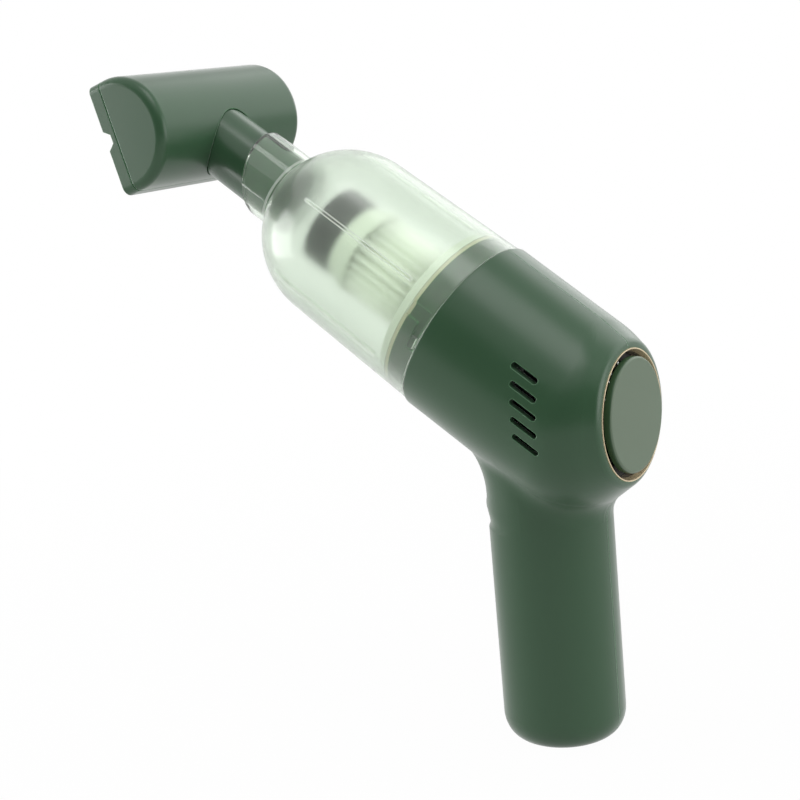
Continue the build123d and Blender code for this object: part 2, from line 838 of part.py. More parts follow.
with BuildPart() as head_housing:
    add(head_form(head_r, head_half_width, head_front))
    for end in (head_housing.faces().sort_by(Axis.Y)[0], head_housing.faces().sort_by(Axis.Y)[-1]):
        rounded = [
            edge for edge in end.edges()
            if abs(HEAD.to_local_coords(edge @ 0.5).X - head_front) > 0.01
        ]
        fillet(ShapeList(rounded), head_end_round)
    add(head_form(head_inner_r, head_inner_half, head_front + 1), mode=Mode.SUBTRACT)
    add(disc(tube_start_s, tube_len, tube_r + snug), mode=Mode.SUBTRACT)
    add(tube_seam.part, mode=Mode.SUBTRACT)
write(head_housing.part, "head_housing")

# Rim of the mouth with its plug, shadow gap, bars, end notches and grooves for the strips
frame_back = head_front + shadow_gap_width
lint_len = 2 * (head_half_width - lint_end_gap)
lint_y = head_r - frame_rim / 2
with BuildPart() as mouth_frame:
    with BuildSketch(MOUTH.offset(head_front - frame_plug)):
        Rectangle(2 * (head_inner_half - snug), 2 * (head_inner_r - loose))
    extrude(amount=frame_plug)
    with BuildSketch(MOUTH.offset(head_front)):
        RectangleRounded(2 * (head_half_width - shadow_gap_depth), 2 * (head_r - shadow_gap_depth),
                         head_end_round - shadow_gap_depth)
    extrude(amount=shadow_gap_width)
    with BuildSketch(MOUTH.offset(frame_back)):
        RectangleRounded(2 * head_half_width, 2 * head_r, head_end_round)
    extrude(amount=frame_front - frame_back)
    with BuildSketch(MOUTH.offset(head_front - frame_plug)):
        Rectangle(2 * (head_inner_half - snug - frame_plug_wall), 2 * (head_inner_r - loose - frame_plug_wall))
    extrude(amount=2 * frame_front, mode=Mode.SUBTRACT)
    with BuildSketch(MOUTH.offset(frame_front - mouth_bar_setback - mouth_bar_depth)):
        with Locations((-mouth_bar_y, 0), (mouth_bar_y, 0)):
            Rectangle(mouth_bar_width, 2 * head_inner_r - frame_plug_wall)
    extrude(amount=mouth_bar_depth)
    for side in (-1, 1):
        with BuildSketch(HEAD.offset(side * (head_half_width + 1))):
            with BuildLine():
                Polyline(
                    (frame_front - notch_depth, -notch_floor / 2), (frame_front + 1, -notch_mouth / 2),
                    (frame_front + 1, notch_mouth / 2), (frame_front - notch_depth, notch_floor / 2),
                    close=True,
                )
            make_face()
        extrude(amount=-side * 2 * frame_rim, mode=Mode.SUBTRACT)
    with BuildSketch(MOUTH.offset(frame_front)):
        with Locations((0, -lint_y), (0, lint_y)):
            Rectangle(lint_len + 2 * snug, lint_width + 2 * snug)
    extrude(amount=-lint_depth, mode=Mode.SUBTRACT)
write(mouth_frame.part, "mouth_frame")

with BuildPart() as lint_strips:
    with BuildSketch(MOUTH.offset(frame_front - lint_depth)):
        with Locations((0, -lint_y), (0, lint_y)):
            Rectangle(lint_len, lint_width)
    extrude(amount=lint_depth + lint_proud)
write(lint_strips.part, "lint_strips")

# Exhaust: trim ring, grille with a hub, and the cover that stands on the hub
trim_r = exhaust_hole_r - snug
trim_in = trim_r - exhaust_trim_wall
with BuildPart() as exhaust_trim_ring:
    with BuildSketch(EXHAUST.offset(-exhaust_depth)):
        Circle(trim_r)
        Circle(trim_in, mode=Mode.SUBTRACT)
    extrude(amount=exhaust_depth + exhaust_trim_proud)
    with BuildSketch(EXHAUST.offset(-exhaust_depth)):
        Circle(exhaust_hole_r + exhaust_flange)
        Circle(trim_in - exhaust_ledge, mode=Mode.SUBTRACT)
    extrude(amount=-exhaust_trim_wall)
write(exhaust_trim_ring.part, "exhaust_trim_ring")

grille_r = trim_in - snug
with BuildPart() as exhaust_grille:
    with BuildSketch(EXHAUST.offset(-exhaust_depth)):
        Circle(grille_r)
        Circle(grille_r - grille_rim, mode=Mode.SUBTRACT)
        for spoke in range(grille_spokes // 2):
            Rectangle(2 * grille_r - grille_rim, grille_spoke_width, rotation=spoke * 360 / grille_spokes)
        Circle(grille_hub_r)
        Circle(cover_pin_r + snug, mode=Mode.SUBTRACT)
    extrude(amount=grille_thick)
write(exhaust_grille.part, "exhaust_grille")

with BuildPart() as exhaust_cover:
    with BuildSketch(EXHAUST.offset(cover_proud - cover_thick)):
        Circle(cover_r)
    extrude(amount=cover_thick)
    fillet(exhaust_cover.faces().sort_by(Axis.X)[-1].edges(), cover_edge_round)
    with BuildSketch(EXHAUST.offset(cover_proud - cover_thick)):
        Circle(cover_stem_r)
    extrude(amount=-(exhaust_depth - grille_thick + cover_proud - cover_thick))
    with BuildSketch(EXHAUST.offset(-exhaust_depth)):
        Circle(cover_pin_r)
    extrude(amount=exhaust_depth)
write(exhaust_cover.part, "exhaust_cover")

# Fan housing, diffuser and gasket
with BuildPart() as fan_shroud:
    add(disc(shroud_s, shroud_len, shroud_r, inlet_r))
    add(disc(shroud_s, shroud_len - shroud_wall, shroud_r - shroud_wall), mode=Mode.SUBTRACT)
write(fan_shroud.part, "fan_shroud")

with BuildPart() as diffuser:
    add(disc(plate_s, diffuser_plate, diffuser_plate_r, diffuser_hole_r))
    with BuildSketch(across(diffuser_s)):
        for vane in range(diffuser_vanes // 2):
            Rectangle(2 * (shroud_r - shroud_wall - snug), diffuser_vane_thick,
                      rotation=vane * 360 / diffuser_vanes)
        Circle(motor_r + snug, mode=Mode.SUBTRACT)
    extrude(amount=diffuser_vane_len)
    with BuildSketch(across(plate_s)):
        with Locations((0, motor_screw_reach), (0, -motor_screw_reach)):
            Circle(motor_screw_r + snug)
    extrude(amount=diffuser_plate, mode=Mode.SUBTRACT)
    with BuildSketch(across(plate_s + diffuser_plate - motor_screw_head)):
        with Locations((0, motor_screw_reach), (0, -motor_screw_reach)):
            Circle(motor_screw_head_r + snug)
    extrude(amount=motor_screw_head, mode=Mode.SUBTRACT)
write(diffuser.part, "diffuser")

with BuildPart() as motor_gasket:
    add(disc(shroud_end_s, spigot_back_s - shroud_end_s, gasket_r, gasket_r - gasket_wall))
write(motor_gasket.part, "motor_gasket")

# Motor: can, magnets, end bell, bearings and screws
with BuildPart() as motor_can:
    add(disc(motor_s, motor_len, motor_r, bearing_r + snug))
    add(disc(motor_s, motor_len - motor_face, motor_r - motor_skin), mode=Mode.SUBTRACT)
    with BuildSketch(across(motor_end_s - motor_face)):
        with Locations((0, motor_screw_reach), (0, -motor_screw_reach)):
            Circle(motor_screw_r + snug)
    extrude(amount=motor_face, mode=Mode.SUBTRACT)
write(motor_can.part, "motor_can")

magnet_r = motor_r - motor_skin - snug
with BuildPart() as motor_magnets:
    for middle_deg in (0, 180):
        add(sector(magnet_s, magnet_len, magnet_r - magnet_thick, magnet_r,
                   middle_deg - magnet_arc_deg / 2, magnet_arc_deg))
write(motor_magnets.part, "motor_magnets")

with BuildPart() as motor_end_bell:
    add(disc(motor_s - bell_face, bell_face, motor_r, bearing_r + snug))
    add(disc(motor_s - bell_len, bell_len - bell_face, bell_hub_r, bearing_r + snug))
    add(disc(motor_s, bell_face, motor_r - motor_skin - snug, motor_r - 3 * motor_skin))
write(motor_end_bell.part, "motor_end_bell")

with BuildPart() as bearing_rear:
    add(disc(motor_s - bell_len, bearing_len, bearing_r, shaft_r + shaft_gap))
write(bearing_rear.part, "bearing_rear")

with BuildPart() as bearing_front:
    add(disc(motor_end_s - motor_face, motor_face, bearing_r, shaft_r + shaft_gap))
write(bearing_front.part, "bearing_front")

with BuildPart() as motor_screws:
    screw_top_s = plate_s + diffuser_plate
    with BuildSketch(across(screw_top_s)):
        with Locations((0, motor_screw_reach), (0, -motor_screw_reach)):
            Circle(motor_screw_head_r)
    extrude(amount=-motor_screw_head)
    with BuildSketch(across(screw_top_s)):
        with Locations((0, motor_screw_reach), (0, -motor_screw_reach)):
            Circle(motor_screw_r)
    extrude(amount=-motor_screw_len)
write(motor_screws.part, "motor_screws")

# Rotor: shaft, armature and impeller
with BuildPart() as motor_shaft:
    add(disc(shaft_tail_s, shaft_nose_s - shaft_tail_s, shaft_r))
write(motor_shaft.part, "motor_shaft")

with BuildPart() as motor_armature:
    add(disc(armature_s, armature_len, magnet_r - magnet_thick - armature_gap, shaft_r + snug))
write(motor_armature.part, "motor_armature")

with BuildPart() as impeller:
    add(disc(fan_s, fan_plate, fan_r, shaft_r + snug))
    with BuildSketch(across(fan_s + fan_plate)):
        root_r = fan_hub_r - 0.5
        middle_r = (fan_hub_r + fan_r) / 2
        for blade in range(fan_blades):
            start = blade * 360 / fan_blades
            middle = start - fan_sweep_deg * 0.4
            end = start - fan_sweep_deg
            edge_deg = 360 * fan_blade_thick / 6.2832
            with BuildLine():
                ThreePointArc(polar(root_r, start), polar(middle_r, middle), polar(fan_r, end))
                Line(polar(fan_r, end), polar(fan_r, end - edge_deg / fan_r))
                ThreePointArc(
                    polar(fan_r, end - edge_deg / fan_r),
                    polar(middle_r, middle - edge_deg / middle_r),
                    polar(root_r, start - edge_deg / root_r),
                )
                Line(polar(root_r, start - edge_deg / root_r), polar(root_r, start))
            make_face()
        Circle(fan_hub_r)
        Circle(shaft_r + snug, mode=Mode.SUBTRACT)
    extrude(amount=fan_len - fan_plate)
write(impeller.part, "impeller")

# Foot with its ring that carries the charge board, and the charging port
with BuildPart() as handle_foot:
    with BuildSketch(Plane.XY):
        Circle(foot_r)
    extrude(amount=foot_lip_z)
    with BuildSketch(Plane.XY.offset(foot_lip_z)):
        Circle(foot_flange_r)
    extrude(amount=foot_flange_thick)
    foot_top_z = foot_lip_z + foot_flange_thick
    with BuildSketch(Plane.XY.offset(foot_top_z)):
        Circle(foot_ring_r)
        Circle(foot_ring_r - foot_ring_wall, mode=Mode.SUBTRACT)
    extrude(amount=port_top_z - foot_top_z)
    with BuildSketch(Plane.XY):
        with Locations((port_x, 0)):
            RectangleRounded(port_height + 2 * snug, port_width + 2 * snug, port_height / 2)
    extrude(amount=foot_top_z, mode=Mode.SUBTRACT)
write(handle_foot.part, "handle_foot")

with BuildPart() as charge_port:
    with BuildSketch(Plane.XY.offset(port_recess)):
        with Locations((port_x, 0)):
            RectangleRounded(port_height, port_width, port_height / 2 - snug)
    extrude(amount=port_top_z - port_recess)
    with BuildSketch(Plane.XY.offset(port_recess)):
        with Locations((port_x, 0)):
            RectangleRounded(port_height - 2 * port_skin, port_width - 2 * port_skin,
                             port_height / 2 - snug - port_skin)
    extrude(amount=port_top_z - port_recess - board_thick, mode=Mode.SUBTRACT)
write(charge_port.part, "charge_port")

with BuildPart() as port_tongue:
    with BuildSketch(Plane.XY.offset(port_top_z - board_thick)):
        with Locations((port_x, 0)):
            Rectangle(port_tongue_thick, port_tongue_width)
    extrude(amount=-(port_top_z - port_recess - 2 * board_thick))
write(port_tongue.part, "port_tongue")

with BuildPart() as charge_board:
    with BuildSketch(Plane.XY.offset(port_top_z)):
        Circle(charge_board_r)
    extrude(amount=board_thick)
write(charge_board.part, "charge_board")

# Cells with their tabs and holders
for cell_name, cell_side in (("cell_front", -1), ("cell_rear", 1)):
    with BuildPart() as cell:
        with BuildSketch(Plane.XY.offset(cell_z)):
            with Locations((cell_side * cell_x, 0)):
                Circle(cell_r)
        extrude(amount=cell_len)
    write(cell.part, cell_name)

with BuildPart() as cell_tabs:
    with BuildSketch(Plane.XY.offset(cell_z - tab_thick)):
        Rectangle(2 * cell_x + tab_width, tab_width)
    extrude(amount=tab_thick)
    with BuildSketch(Plane.XY.offset(cell_top_z)):
        with Locations((-cell_x, 0), (cell_x, 0)):
            Rectangle(tab_width, tab_width)
    extrude(amount=tab_thick)
write(cell_tabs.part, "cell_tabs")

holder_r = handle_r - wall - loose
for holder_name, holder_z in (
    ("cell_holder_lower", cell_z - tab_thick - holder_thick),
    ("cell_holder_upper", cell_top_z + tab_thick),
):
    with BuildPart() as holder:
        with BuildSketch(Plane.XY.offset(holder_z)):
            Circle(holder_r)
            with Locations((0, holder_vent_y), (0, -holder_vent_y)):
                Circle(holder_vent_r, mode=Mode.SUBTRACT)
            with Locations((-holder_r, 0)):
                Rectangle(2 * holder_notch_depth, holder_notch_width, mode=Mode.SUBTRACT)
        extrude(amount=holder_thick)
    write(holder.part, holder_name)

# Control board on its ledge, with a capacitor, a plug block and two chips
board_z = control_ledge_z + rib_thick
with BuildPart() as control_board:
    with BuildSketch(Plane.XY.offset(board_z)):
        Rectangle(control_board_side, control_board_side)
    extrude(amount=board_thick)
write(control_board.part, "control_board")

with BuildPart() as control_parts:
    with BuildSketch(Plane.XY.offset(board_z + board_thick)):
        with Locations((part_place, part_place)):
            Circle(capacitor_r)
    extrude(amount=capacitor_len)
    with BuildSketch(Plane.XY.offset(board_z + board_thick)):
        with Locations((-part_place, part_place - 1), (-part_place, 1 - part_place)):
            Rectangle(chip_side, chip_side)
    extrude(amount=chip_thick)
    with BuildSketch(Plane.XY.offset(board_z + board_thick)):
        with Locations((part_place, -part_place)):
            Rectangle(2 * chip_side, chip_side)
    extrude(amount=chip_side)
write(control_parts.part, "control_parts")

# Switch board with the switch, and the button with its stem and plunger
switch_face_x = switch_board_x - switch_height
stem_end_x = switch_face_x - button_travel - loose
with BuildPart() as switch_board:
    with Locations((switch_board_x + board_thick / 2, 0, button_z)):
        Box(board_thick, switch_board_width, switch_board_tall)
write(switch_board.part, "switch_board")

with BuildPart() as switch_body:
    with Locations((switch_board_x - switch_height / 2, 0, button_z)):
        Box(switch_height, switch_side, switch_side)
    with BuildSketch(Plane.YZ.offset(switch_face_x)):
        with Locations((0, button_z)):
            Circle(plunger_r + loose)
    extrude(amount=plunger_len, mode=Mode.SUBTRACT)
write(switch_body.part, "switch_body")

with BuildPart() as power_button:
    with BuildSketch(Plane.YZ.offset(button_face_x)):
        with Locations((0, button_z)):
            Circle(button_r)
    extrude(amount=button_seat_x - button_face_x)
    fillet(power_button.faces().sort_by(Axis.X)[0].edges(), button_edge_round)
    with BuildSketch(Plane.YZ.offset(button_seat_x)):
        with Locations((0, button_z)):
            Circle(button_flange_r)
    extrude(amount=button_flange_thick)
    with BuildSketch(Plane.YZ.offset(button_seat_x)):
        with Locations((0, button_z)):
            Circle(button_stem_r)
    extrude(amount=stem_end_x - button_seat_x)
    with BuildSketch(Plane.YZ.offset(stem_end_x)):
        with Locations((0, button_z)):
            Circle(plunger_r)
    extrude(amount=plunger_len - loose)
write(power_button.part, "power_button")
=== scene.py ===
"""Dresses a handheld vacuum cleaner: finishes for its moulded, frosted, paper and metal pieces, the turned
exhaust ring, the folded filter paper, the lint pile of the mouth, and a plain pale studio round it."""

import math

import bpy
import numpy as np
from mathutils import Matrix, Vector


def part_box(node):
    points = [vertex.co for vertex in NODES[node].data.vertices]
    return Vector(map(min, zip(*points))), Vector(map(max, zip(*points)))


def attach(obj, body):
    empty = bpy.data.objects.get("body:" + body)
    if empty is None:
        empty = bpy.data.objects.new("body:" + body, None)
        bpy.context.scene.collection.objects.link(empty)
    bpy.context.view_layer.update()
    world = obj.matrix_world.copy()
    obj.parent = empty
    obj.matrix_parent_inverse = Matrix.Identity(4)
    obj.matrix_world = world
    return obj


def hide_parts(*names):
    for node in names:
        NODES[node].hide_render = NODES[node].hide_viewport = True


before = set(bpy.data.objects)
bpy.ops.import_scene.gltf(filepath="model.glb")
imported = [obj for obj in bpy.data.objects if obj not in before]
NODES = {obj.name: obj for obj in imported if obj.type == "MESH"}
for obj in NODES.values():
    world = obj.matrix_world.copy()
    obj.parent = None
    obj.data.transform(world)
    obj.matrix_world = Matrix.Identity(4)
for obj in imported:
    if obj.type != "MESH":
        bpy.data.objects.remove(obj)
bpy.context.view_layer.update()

bl_info = {
    "name": "Handheld vacuum cleaner",
    "version": (1, 0, 0),
    "blender": (4, 5, 0),
    "location": "View3D > Sidebar > Cleaner",
    "description": "Dresses a handheld vacuum cleaner and lights it",
    "category": "Object",
}

# Where the part's own axes lie, in metres
TILT = math.radians(34.5)
FORWARD = np.array((-math.cos(TILT), 0.0, math.sin(TILT)))
UPWARD = np.array((math.sin(TILT), 0.0, math.cos(TILT)))
ACROSS = np.array((0.0, 1.0, 0.0))
BARREL_BASE = np.array((0.0335, 0.0, 0.10335))
EXHAUST_FACE = np.array((0.0335, 0.0, 0.1172))
HEAD_PITCH = math.radians(17.0)
MOUTH_OUT = np.array((-math.cos(HEAD_PITCH), 0.0, -math.sin(HEAD_PITCH)))
MOUTH_UP = np.array((-math.sin(HEAD_PITCH), 0.0, math.cos(HEAD_PITCH)))
HEAD_CENTRE = np.array((-0.14208, 0.0, 0.22075))
MM = 0.001


def linear(colour):
    """The linear colour of an sRGB hex value such as 3c5540."""
    parts = np.array([int(colour[i:i + 2], 16) / 255 for i in (0, 2, 4)])
    low = parts / 12.92
    high = ((parts + 0.055) / 1.055) ** 2.4
    return tuple(float(v) for v in np.where(parts <= 0.04045, low, high))


def shade(colour, share):
    """The same colour, lighter above a share of 1 and darker below it, with full alpha."""
    return tuple(min(1.0, v * share) for v in colour[:3]) + (1.0,)


def add(tree, kind, inputs=None, **settings):
    """Adds one node. inputs maps a socket to its value or to the socket that feeds it."""
    made = tree.nodes.new(kind)
    for name, value in settings.items():
        setattr(made, name, value)
    for socket, value in (inputs or {}).items():
        if isinstance(value, bpy.types.NodeSocket):
            tree.links.new(value, made.inputs[socket])
        else:
            made.inputs[socket].default_value = value
    return made


# Sockets of the Mix node when it mixes colours
MIX_FACTOR = 0
MIX_A = 6
MIX_B = 7
MIX_RESULT = 2


def number(tree, operation, *values):
    """The result of one step of arithmetic on numbers."""
    return add(tree, "ShaderNodeMath", dict(enumerate(values)), operation=operation).outputs["Value"]


def arrow(tree, operation, *values):
    """The vector that one step of arithmetic on vectors gives."""
    return add(tree, "ShaderNodeVectorMath", dict(enumerate(values)), operation=operation).outputs["Vector"]


def measure(tree, operation, *values):
    """The number that one step of arithmetic on vectors gives, such as a length."""
    return add(tree, "ShaderNodeVectorMath", dict(enumerate(values)), operation=operation).outputs["Value"]


def reach(tree, first, second):
    """Length of the vector with these two parts."""
    vector = add(tree, "ShaderNodeCombineXYZ", {"X": first, "Y": second}).outputs["Vector"]
    return measure(tree, "LENGTH", vector)


def ramp(tree, value, start=0.0, end=1.0, low=0.0, high=1.0, bend="LINEAR"):
    """Turns the range from start to end into the range from low to high, and holds the ends beyond it."""
    made = add(tree, "ShaderNodeMapRange", {
        "Value": value, "From Min": start, "From Max": end, "To Min": low, "To Max": high,
    }, interpolation_type=bend)
    return made.outputs["Result"]


def noise(tree, place, size, detail=2.0):
    """A noise over the place, with features of about the given size in metres."""
    made = add(tree, "ShaderNodeTexNoise", {"Vector": place, "Scale": 1 / size, "Detail": detail})
    return made.outputs["Fac"]


def blend(tree, share, first, second):
    """The first colour where share is 0 and the second where it is 1."""
    mixed = add(tree, "ShaderNodeMix", {MIX_FACTOR: share, MIX_A: first, MIX_B: second}, data_type="RGBA")
    return mixed.outputs[MIX_RESULT]


def begin(name):
    """A new material with its tree, and the place on the piece in metres."""
    material = bpy.data.materials.new(name)
    material.use_nodes = True
    tree = material.node_tree
    return material, tree, place_on(tree)


def place_on(tree):
    """The place on the piece in metres, which moves with the piece."""
    return add(tree, "ShaderNodeTexCoord").outputs["Object"]


def feed(tree, socket, name):
    """Leads a socket to the named one of the surface shader."""
    tree.links.new(socket, tree.nodes["Principled BSDF"].inputs[name])


def tint(tree, share, colour, low, high):
    """Base colour that goes with share from low times the colour to high times the colour."""
    feed(tree, blend(tree, share, shade(colour, low), shade(colour, high)), "Base Color")


def relief(tree, height, depth, normal=None):
    """Texture in the surface: depth is what a height of 1 stands out, in metres."""
    inputs = {"Height": height, "Distance": depth}
    if normal is not None:
        inputs["Normal"] = normal
    feed(tree, add(tree, "ShaderNodeBump", inputs).outputs["Normal"], "Normal")


def set_shader(tree, **values):
    """Values that are the same all over the surface, on the shader's own sockets."""
    for name, value in values.items():
        tree.nodes["Principled BSDF"].inputs[name.replace("_", " ")].default_value = value


def own_colour(tree):
    """The socket that feeds the base colour so far."""
    return tree.nodes["Principled BSDF"].inputs["Base Color"].links[0].from_socket


def moulded(name, colour, roughness, grain, grain_height, cloud=30 * MM, tone=0.05, polish=0.05, edge=0.0,
            edge_highlight=3.5, **values):
    """Moulded plastic: grain is the spacing in metres of the texture that the mould leaves, grain_height its
    height, cloud the size of the broad patches in which the colour changes by tone and the gloss by polish,
    edge the radius of the soft edges that catch the light, and edge_highlight how much paler the painted
    highlight along them is."""
    material, tree, place = begin(name)
    broad = noise(tree, place, cloud)
    fine = noise(tree, place, grain, detail=1.0)
    tint(tree, broad, colour, 1 - tone, 1 + tone)
    feed(tree, ramp(tree, broad, low=roughness - polish, high=roughness + polish), "Roughness")
    soft_normal = None
    if edge > 0:
        # Along the sharp edges the colour is paled: a painted highlight.
        soft_normal = add(tree, "ShaderNodeBevel", {"Radius": edge}, samples=8).outputs["Normal"]
        paint_edge_highlights(tree, soft_normal, shade(colour, edge_highlight))
    relief(tree, fine, grain_height, soft_normal)
    set_shader(tree, **values)
    return material


def paint_edge_highlights(tree, soft_normal, light):
    """Mixes the light colour in where the softened normal leans away from the surface's own: a painted
    highlight along the sharp edges, where the light catches them. The lean is the cosine of the angle between
    the two."""
    true_normal = add(tree, "ShaderNodeNewGeometry").outputs["Normal"]
    lean = measure(tree, "DOT_PRODUCT", soft_normal, true_normal)
    first_lean = 0.985
    full_lean = 0.9
    most_highlight = 0.85
    share = ramp(tree, lean, first_lean, full_lean, high=most_highlight)
    feed(tree, blend(tree, share, own_colour(tree), light), "Base Color")


def recolour(tree, value, start, fade, colour):
    """Turns the base colour into the given one wherever value lies below start; it changes back over fade."""
    share = ramp(tree, value, start, start + fade, bend="SMOOTHSTEP")
    feed(tree, blend(tree, share, shade(colour, 1.0), own_colour(tree)), "Base Color")


def dress(material, *names):
    """Gives each named CAD node the material."""
    for name in names:
        mesh = NODES[name].data
        mesh.materials.clear()
        mesh.materials.append(material)


def surface(name, points, faces, material, body, slot, smooth=True):
    """A piece from whole arrays of points and of corner numbers, riding on a body."""
    mesh = bpy.data.meshes.new(name)
    mesh.from_pydata(points.reshape(-1, 3).tolist(), [], faces.tolist())
    mesh.update()
    mesh.polygons.foreach_set("use_smooth", np.full(len(mesh.polygons), smooth))
    mesh.materials.append(material)
    piece = bpy.data.objects.new(name, mesh)
    bpy.context.scene.collection.objects.link(piece)
    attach(piece, body)
    return piece


def grid_faces(rows, columns, close_rows=False):
    """Four-sided faces of a grid whose columns close on themselves, and whose rows do so on request."""
    row = np.arange(rows if close_rows else rows - 1)[:, None]
    column = np.arange(columns)[None, :]
    next_row = (row + 1) % rows
    next_column = (column + 1) % columns
    corners = (row * columns + column, row * columns + next_column,
               next_row * columns + next_column, next_row * columns + column)
    return np.stack(np.broadcast_arrays(*corners), axis=-1).reshape(-1, 4)


def size_property(name, description, default, least=0.0, most=10000.0, precision=5):
    """A length between least and most, all given here in millimetres."""
    return bpy.props.FloatProperty(name=name, description=description, default=default * MM, min=least * MM,
                                   max=most * MM, precision=precision, subtype="DISTANCE", unit="LENGTH")


def level_property(name, description, default, most=1.0):
    """A level between 0 and most."""
    return bpy.props.FloatProperty(name=name, description=description, default=default, min=0.0, max=most,
                                   subtype="FACTOR")


def colour_property(name, description, shown):
    """A colour, given here as the sRGB hex value that the eye sees."""
    return bpy.props.FloatVectorProperty(name=name, description=description, default=linear(shown),
                                         subtype="COLOR", size=3, min=0.0, max=1.0)


def angle_property(name, description, degrees):
    """An angle, given here in degrees."""
    return bpy.props.FloatProperty(name=name, description=description, default=math.radians(degrees),
                                   subtype="ANGLE")


def power_property(name, description, watts):
    """The power of a lamp."""
    return bpy.props.FloatProperty(name=name, description=description, default=watts, min=0.0,
                                   subtype="POWER", unit="POWER")


class CLEANER_PG_sizes(bpy.types.PropertyGroup):
    """Sizes of the scene's own pieces and finishes. Places along the axis count from the barrel's base."""
    mould_grain: size_property(
        "Mould grain", "Spacing of the fine texture on the green housings", 0.45, least=0.1, most=2.0)
    mould_grain_height: size_property("Grain height", "Height of that texture", 0.006, most=0.1, precision=6)
    # The green finishes also paint a highlight along these soft edges.
    soft_edge: size_property("Soft edge", "Radius of the green pieces' soft edges, drawn in the finish", 0.4)
    bezel_lip: size_property("Bezel lip", "Width of the flat lip in front of the ring", 0.4, least=0.2)
    bezel_edge: size_property("Bezel edge", "Size of the rounding of the ring's edges", 0.08, precision=6)
    # Behind this edge along X the cover's rim takes the darker spigot green.
    sage_face_edge: size_property("Paint edge", "Where the paint of the cover's face starts, along X", 34.85)
    cap_foot: size_property("Cap foot", "Where the filter cap's light foot ends, along the axis", 125.6)
    cup_front: size_property("Cup front", "Where the cup's dome starts, along the axis", 131.0)
    wall_middle: size_property("Wall middle", "Radius of the middle of the cup's wall at the dome", 30.4)
    frost_start: size_property("Frost start", "Where the cup's frosting starts, along the axis", 84.0)
    frost_end: size_property("Frost end", "Where the cup's frosting ends, along the axis", 157.0)
    frost_fade: size_property("Frost fade", "Length over which the frosting fades out", 2.0)
    rib_count: bpy.props.IntProperty(
        name="Ribs", description="Number of ribs inside the cup", default=6, min=1, max=24)
    rib_start: size_property("Rib start", "Where the cup's ribs start, along the axis", 89.0)
    rib_end: size_property("Rib end", "Where the cup's ribs end, along the axis", 139.0)
    rib_width: size_property("Rib width", "Width of a rib", 1.1)
    ring_start: size_property("Ring start", "Where the neck's first base line lies, along the axis", 158.5)
    ring_pitch: size_property("Ring pitch", "Distance between the two lines round the neck's base", 1.8)
    line_width: size_property("Line width", "Width of the light lines on the cup", 0.28)
    skin_roughness: level_property("Skin roughness", "Roughness of the cup's outside but for the neck", 0.22)
    frost_roughness: level_property("Frost roughness", "Roughness of the cup's frosted inside", 0.21)
    clear_roughness: level_property("Clear roughness", "Roughness of the cup's polished faces", 0.06)
    stain_density: bpy.props.FloatProperty(
        name="Stain density", description="How strongly the cup's plastic is stained, per metre",
        default=42.0, min=0.0)
    fold_count: bpy.props.IntProperty(
        name="Folds", description="Number of folds of the filter paper", default=28, min=8, max=60)
    fold_peak: size_property("Fold peak radius", "Distance of the folds' outer edges from the axis", 15.85)
    fold_depth: size_property("Fold depth", "Depth of the folds", 2.9)
    paper: size_property("Paper thickness", "Thickness of the filter paper", 0.5)
    pile_height: size_property("Pile height", "Height of the lint strips' pile", 0.7)


class CLEANER_PG_colours(bpy.types.PropertyGroup):
    """Colours of the finishes."""
    housing: colour_property("Housing", "Dark green of the body, the head and the tube", "34533a")
    spigot: colour_property("Spigot", "Darker green of the stub under the cup's skirt", "2b4c30")
    cover: colour_property("Exhaust cover", "Sage green of the round cover's face", "5a6b57")
    trim: colour_property("Exhaust trim", "Champagne of the ring round the exhaust", "d2bf9b")
    cup: colour_property("Cup", "Pale tint of the cup's surfaces", "f7fcf6")
    cup_depth: bpy.props.FloatVectorProperty(
        name="Cup depth", description="Green that the cup takes on where one looks through more of it",
        default=(0.60, 0.88, 0.56), subtype="COLOR", size=3, min=0.0, max=1.0)
    seal: colour_property("Seal", "Beige of the lip ring and the gasket", "b3b095")
    filter_cap: colour_property("Filter cap", "Dark grey of the filter's end cap", "181c1b")
    filter_frame: colour_property("Filter frame", "Off-white of the filter's cage and end ring", "d0d5c9")
    filter_paper: colour_property("Filter paper", "Cream of the folded paper", "eff1ea")
    # Painted shade in the depth of the paper's folds.
    filter_fold_shade: colour_property("Filter folds", "Dull colour in the depth of the paper's folds", "dde2d4")
    lint: colour_property("Lint pile", "Dark green grey of the lint strips", "2b352e")
    black: colour_property("Black plastic", "Black of the grille, the holders and the switch", "191b19")
    fan: colour_property("Fan plastic", "Grey of the fan, its shroud and the diffuser", "8c908e")
    steel: colour_property("Steel", "Bright steel of the motor, the screws and the port", "c4c5c8")
    copper: colour_property("Copper", "Enamelled copper of the armature", "b4713f")
    ferrite: colour_property("Ferrite", "Charcoal of the magnets", "2c2c2e")
    cell_wrap: colour_property("Cell wrap", "Blue of the cells' shrink wrap", "2f6690")
    laminate: colour_property("Boards", "Green of the boards' solder mask", "1d5a36")
    card: colour_property("Card", "Near black of the card behind the camera", "202020")
    floor: colour_property("Floor", "Pale floor", "d2d2cf")


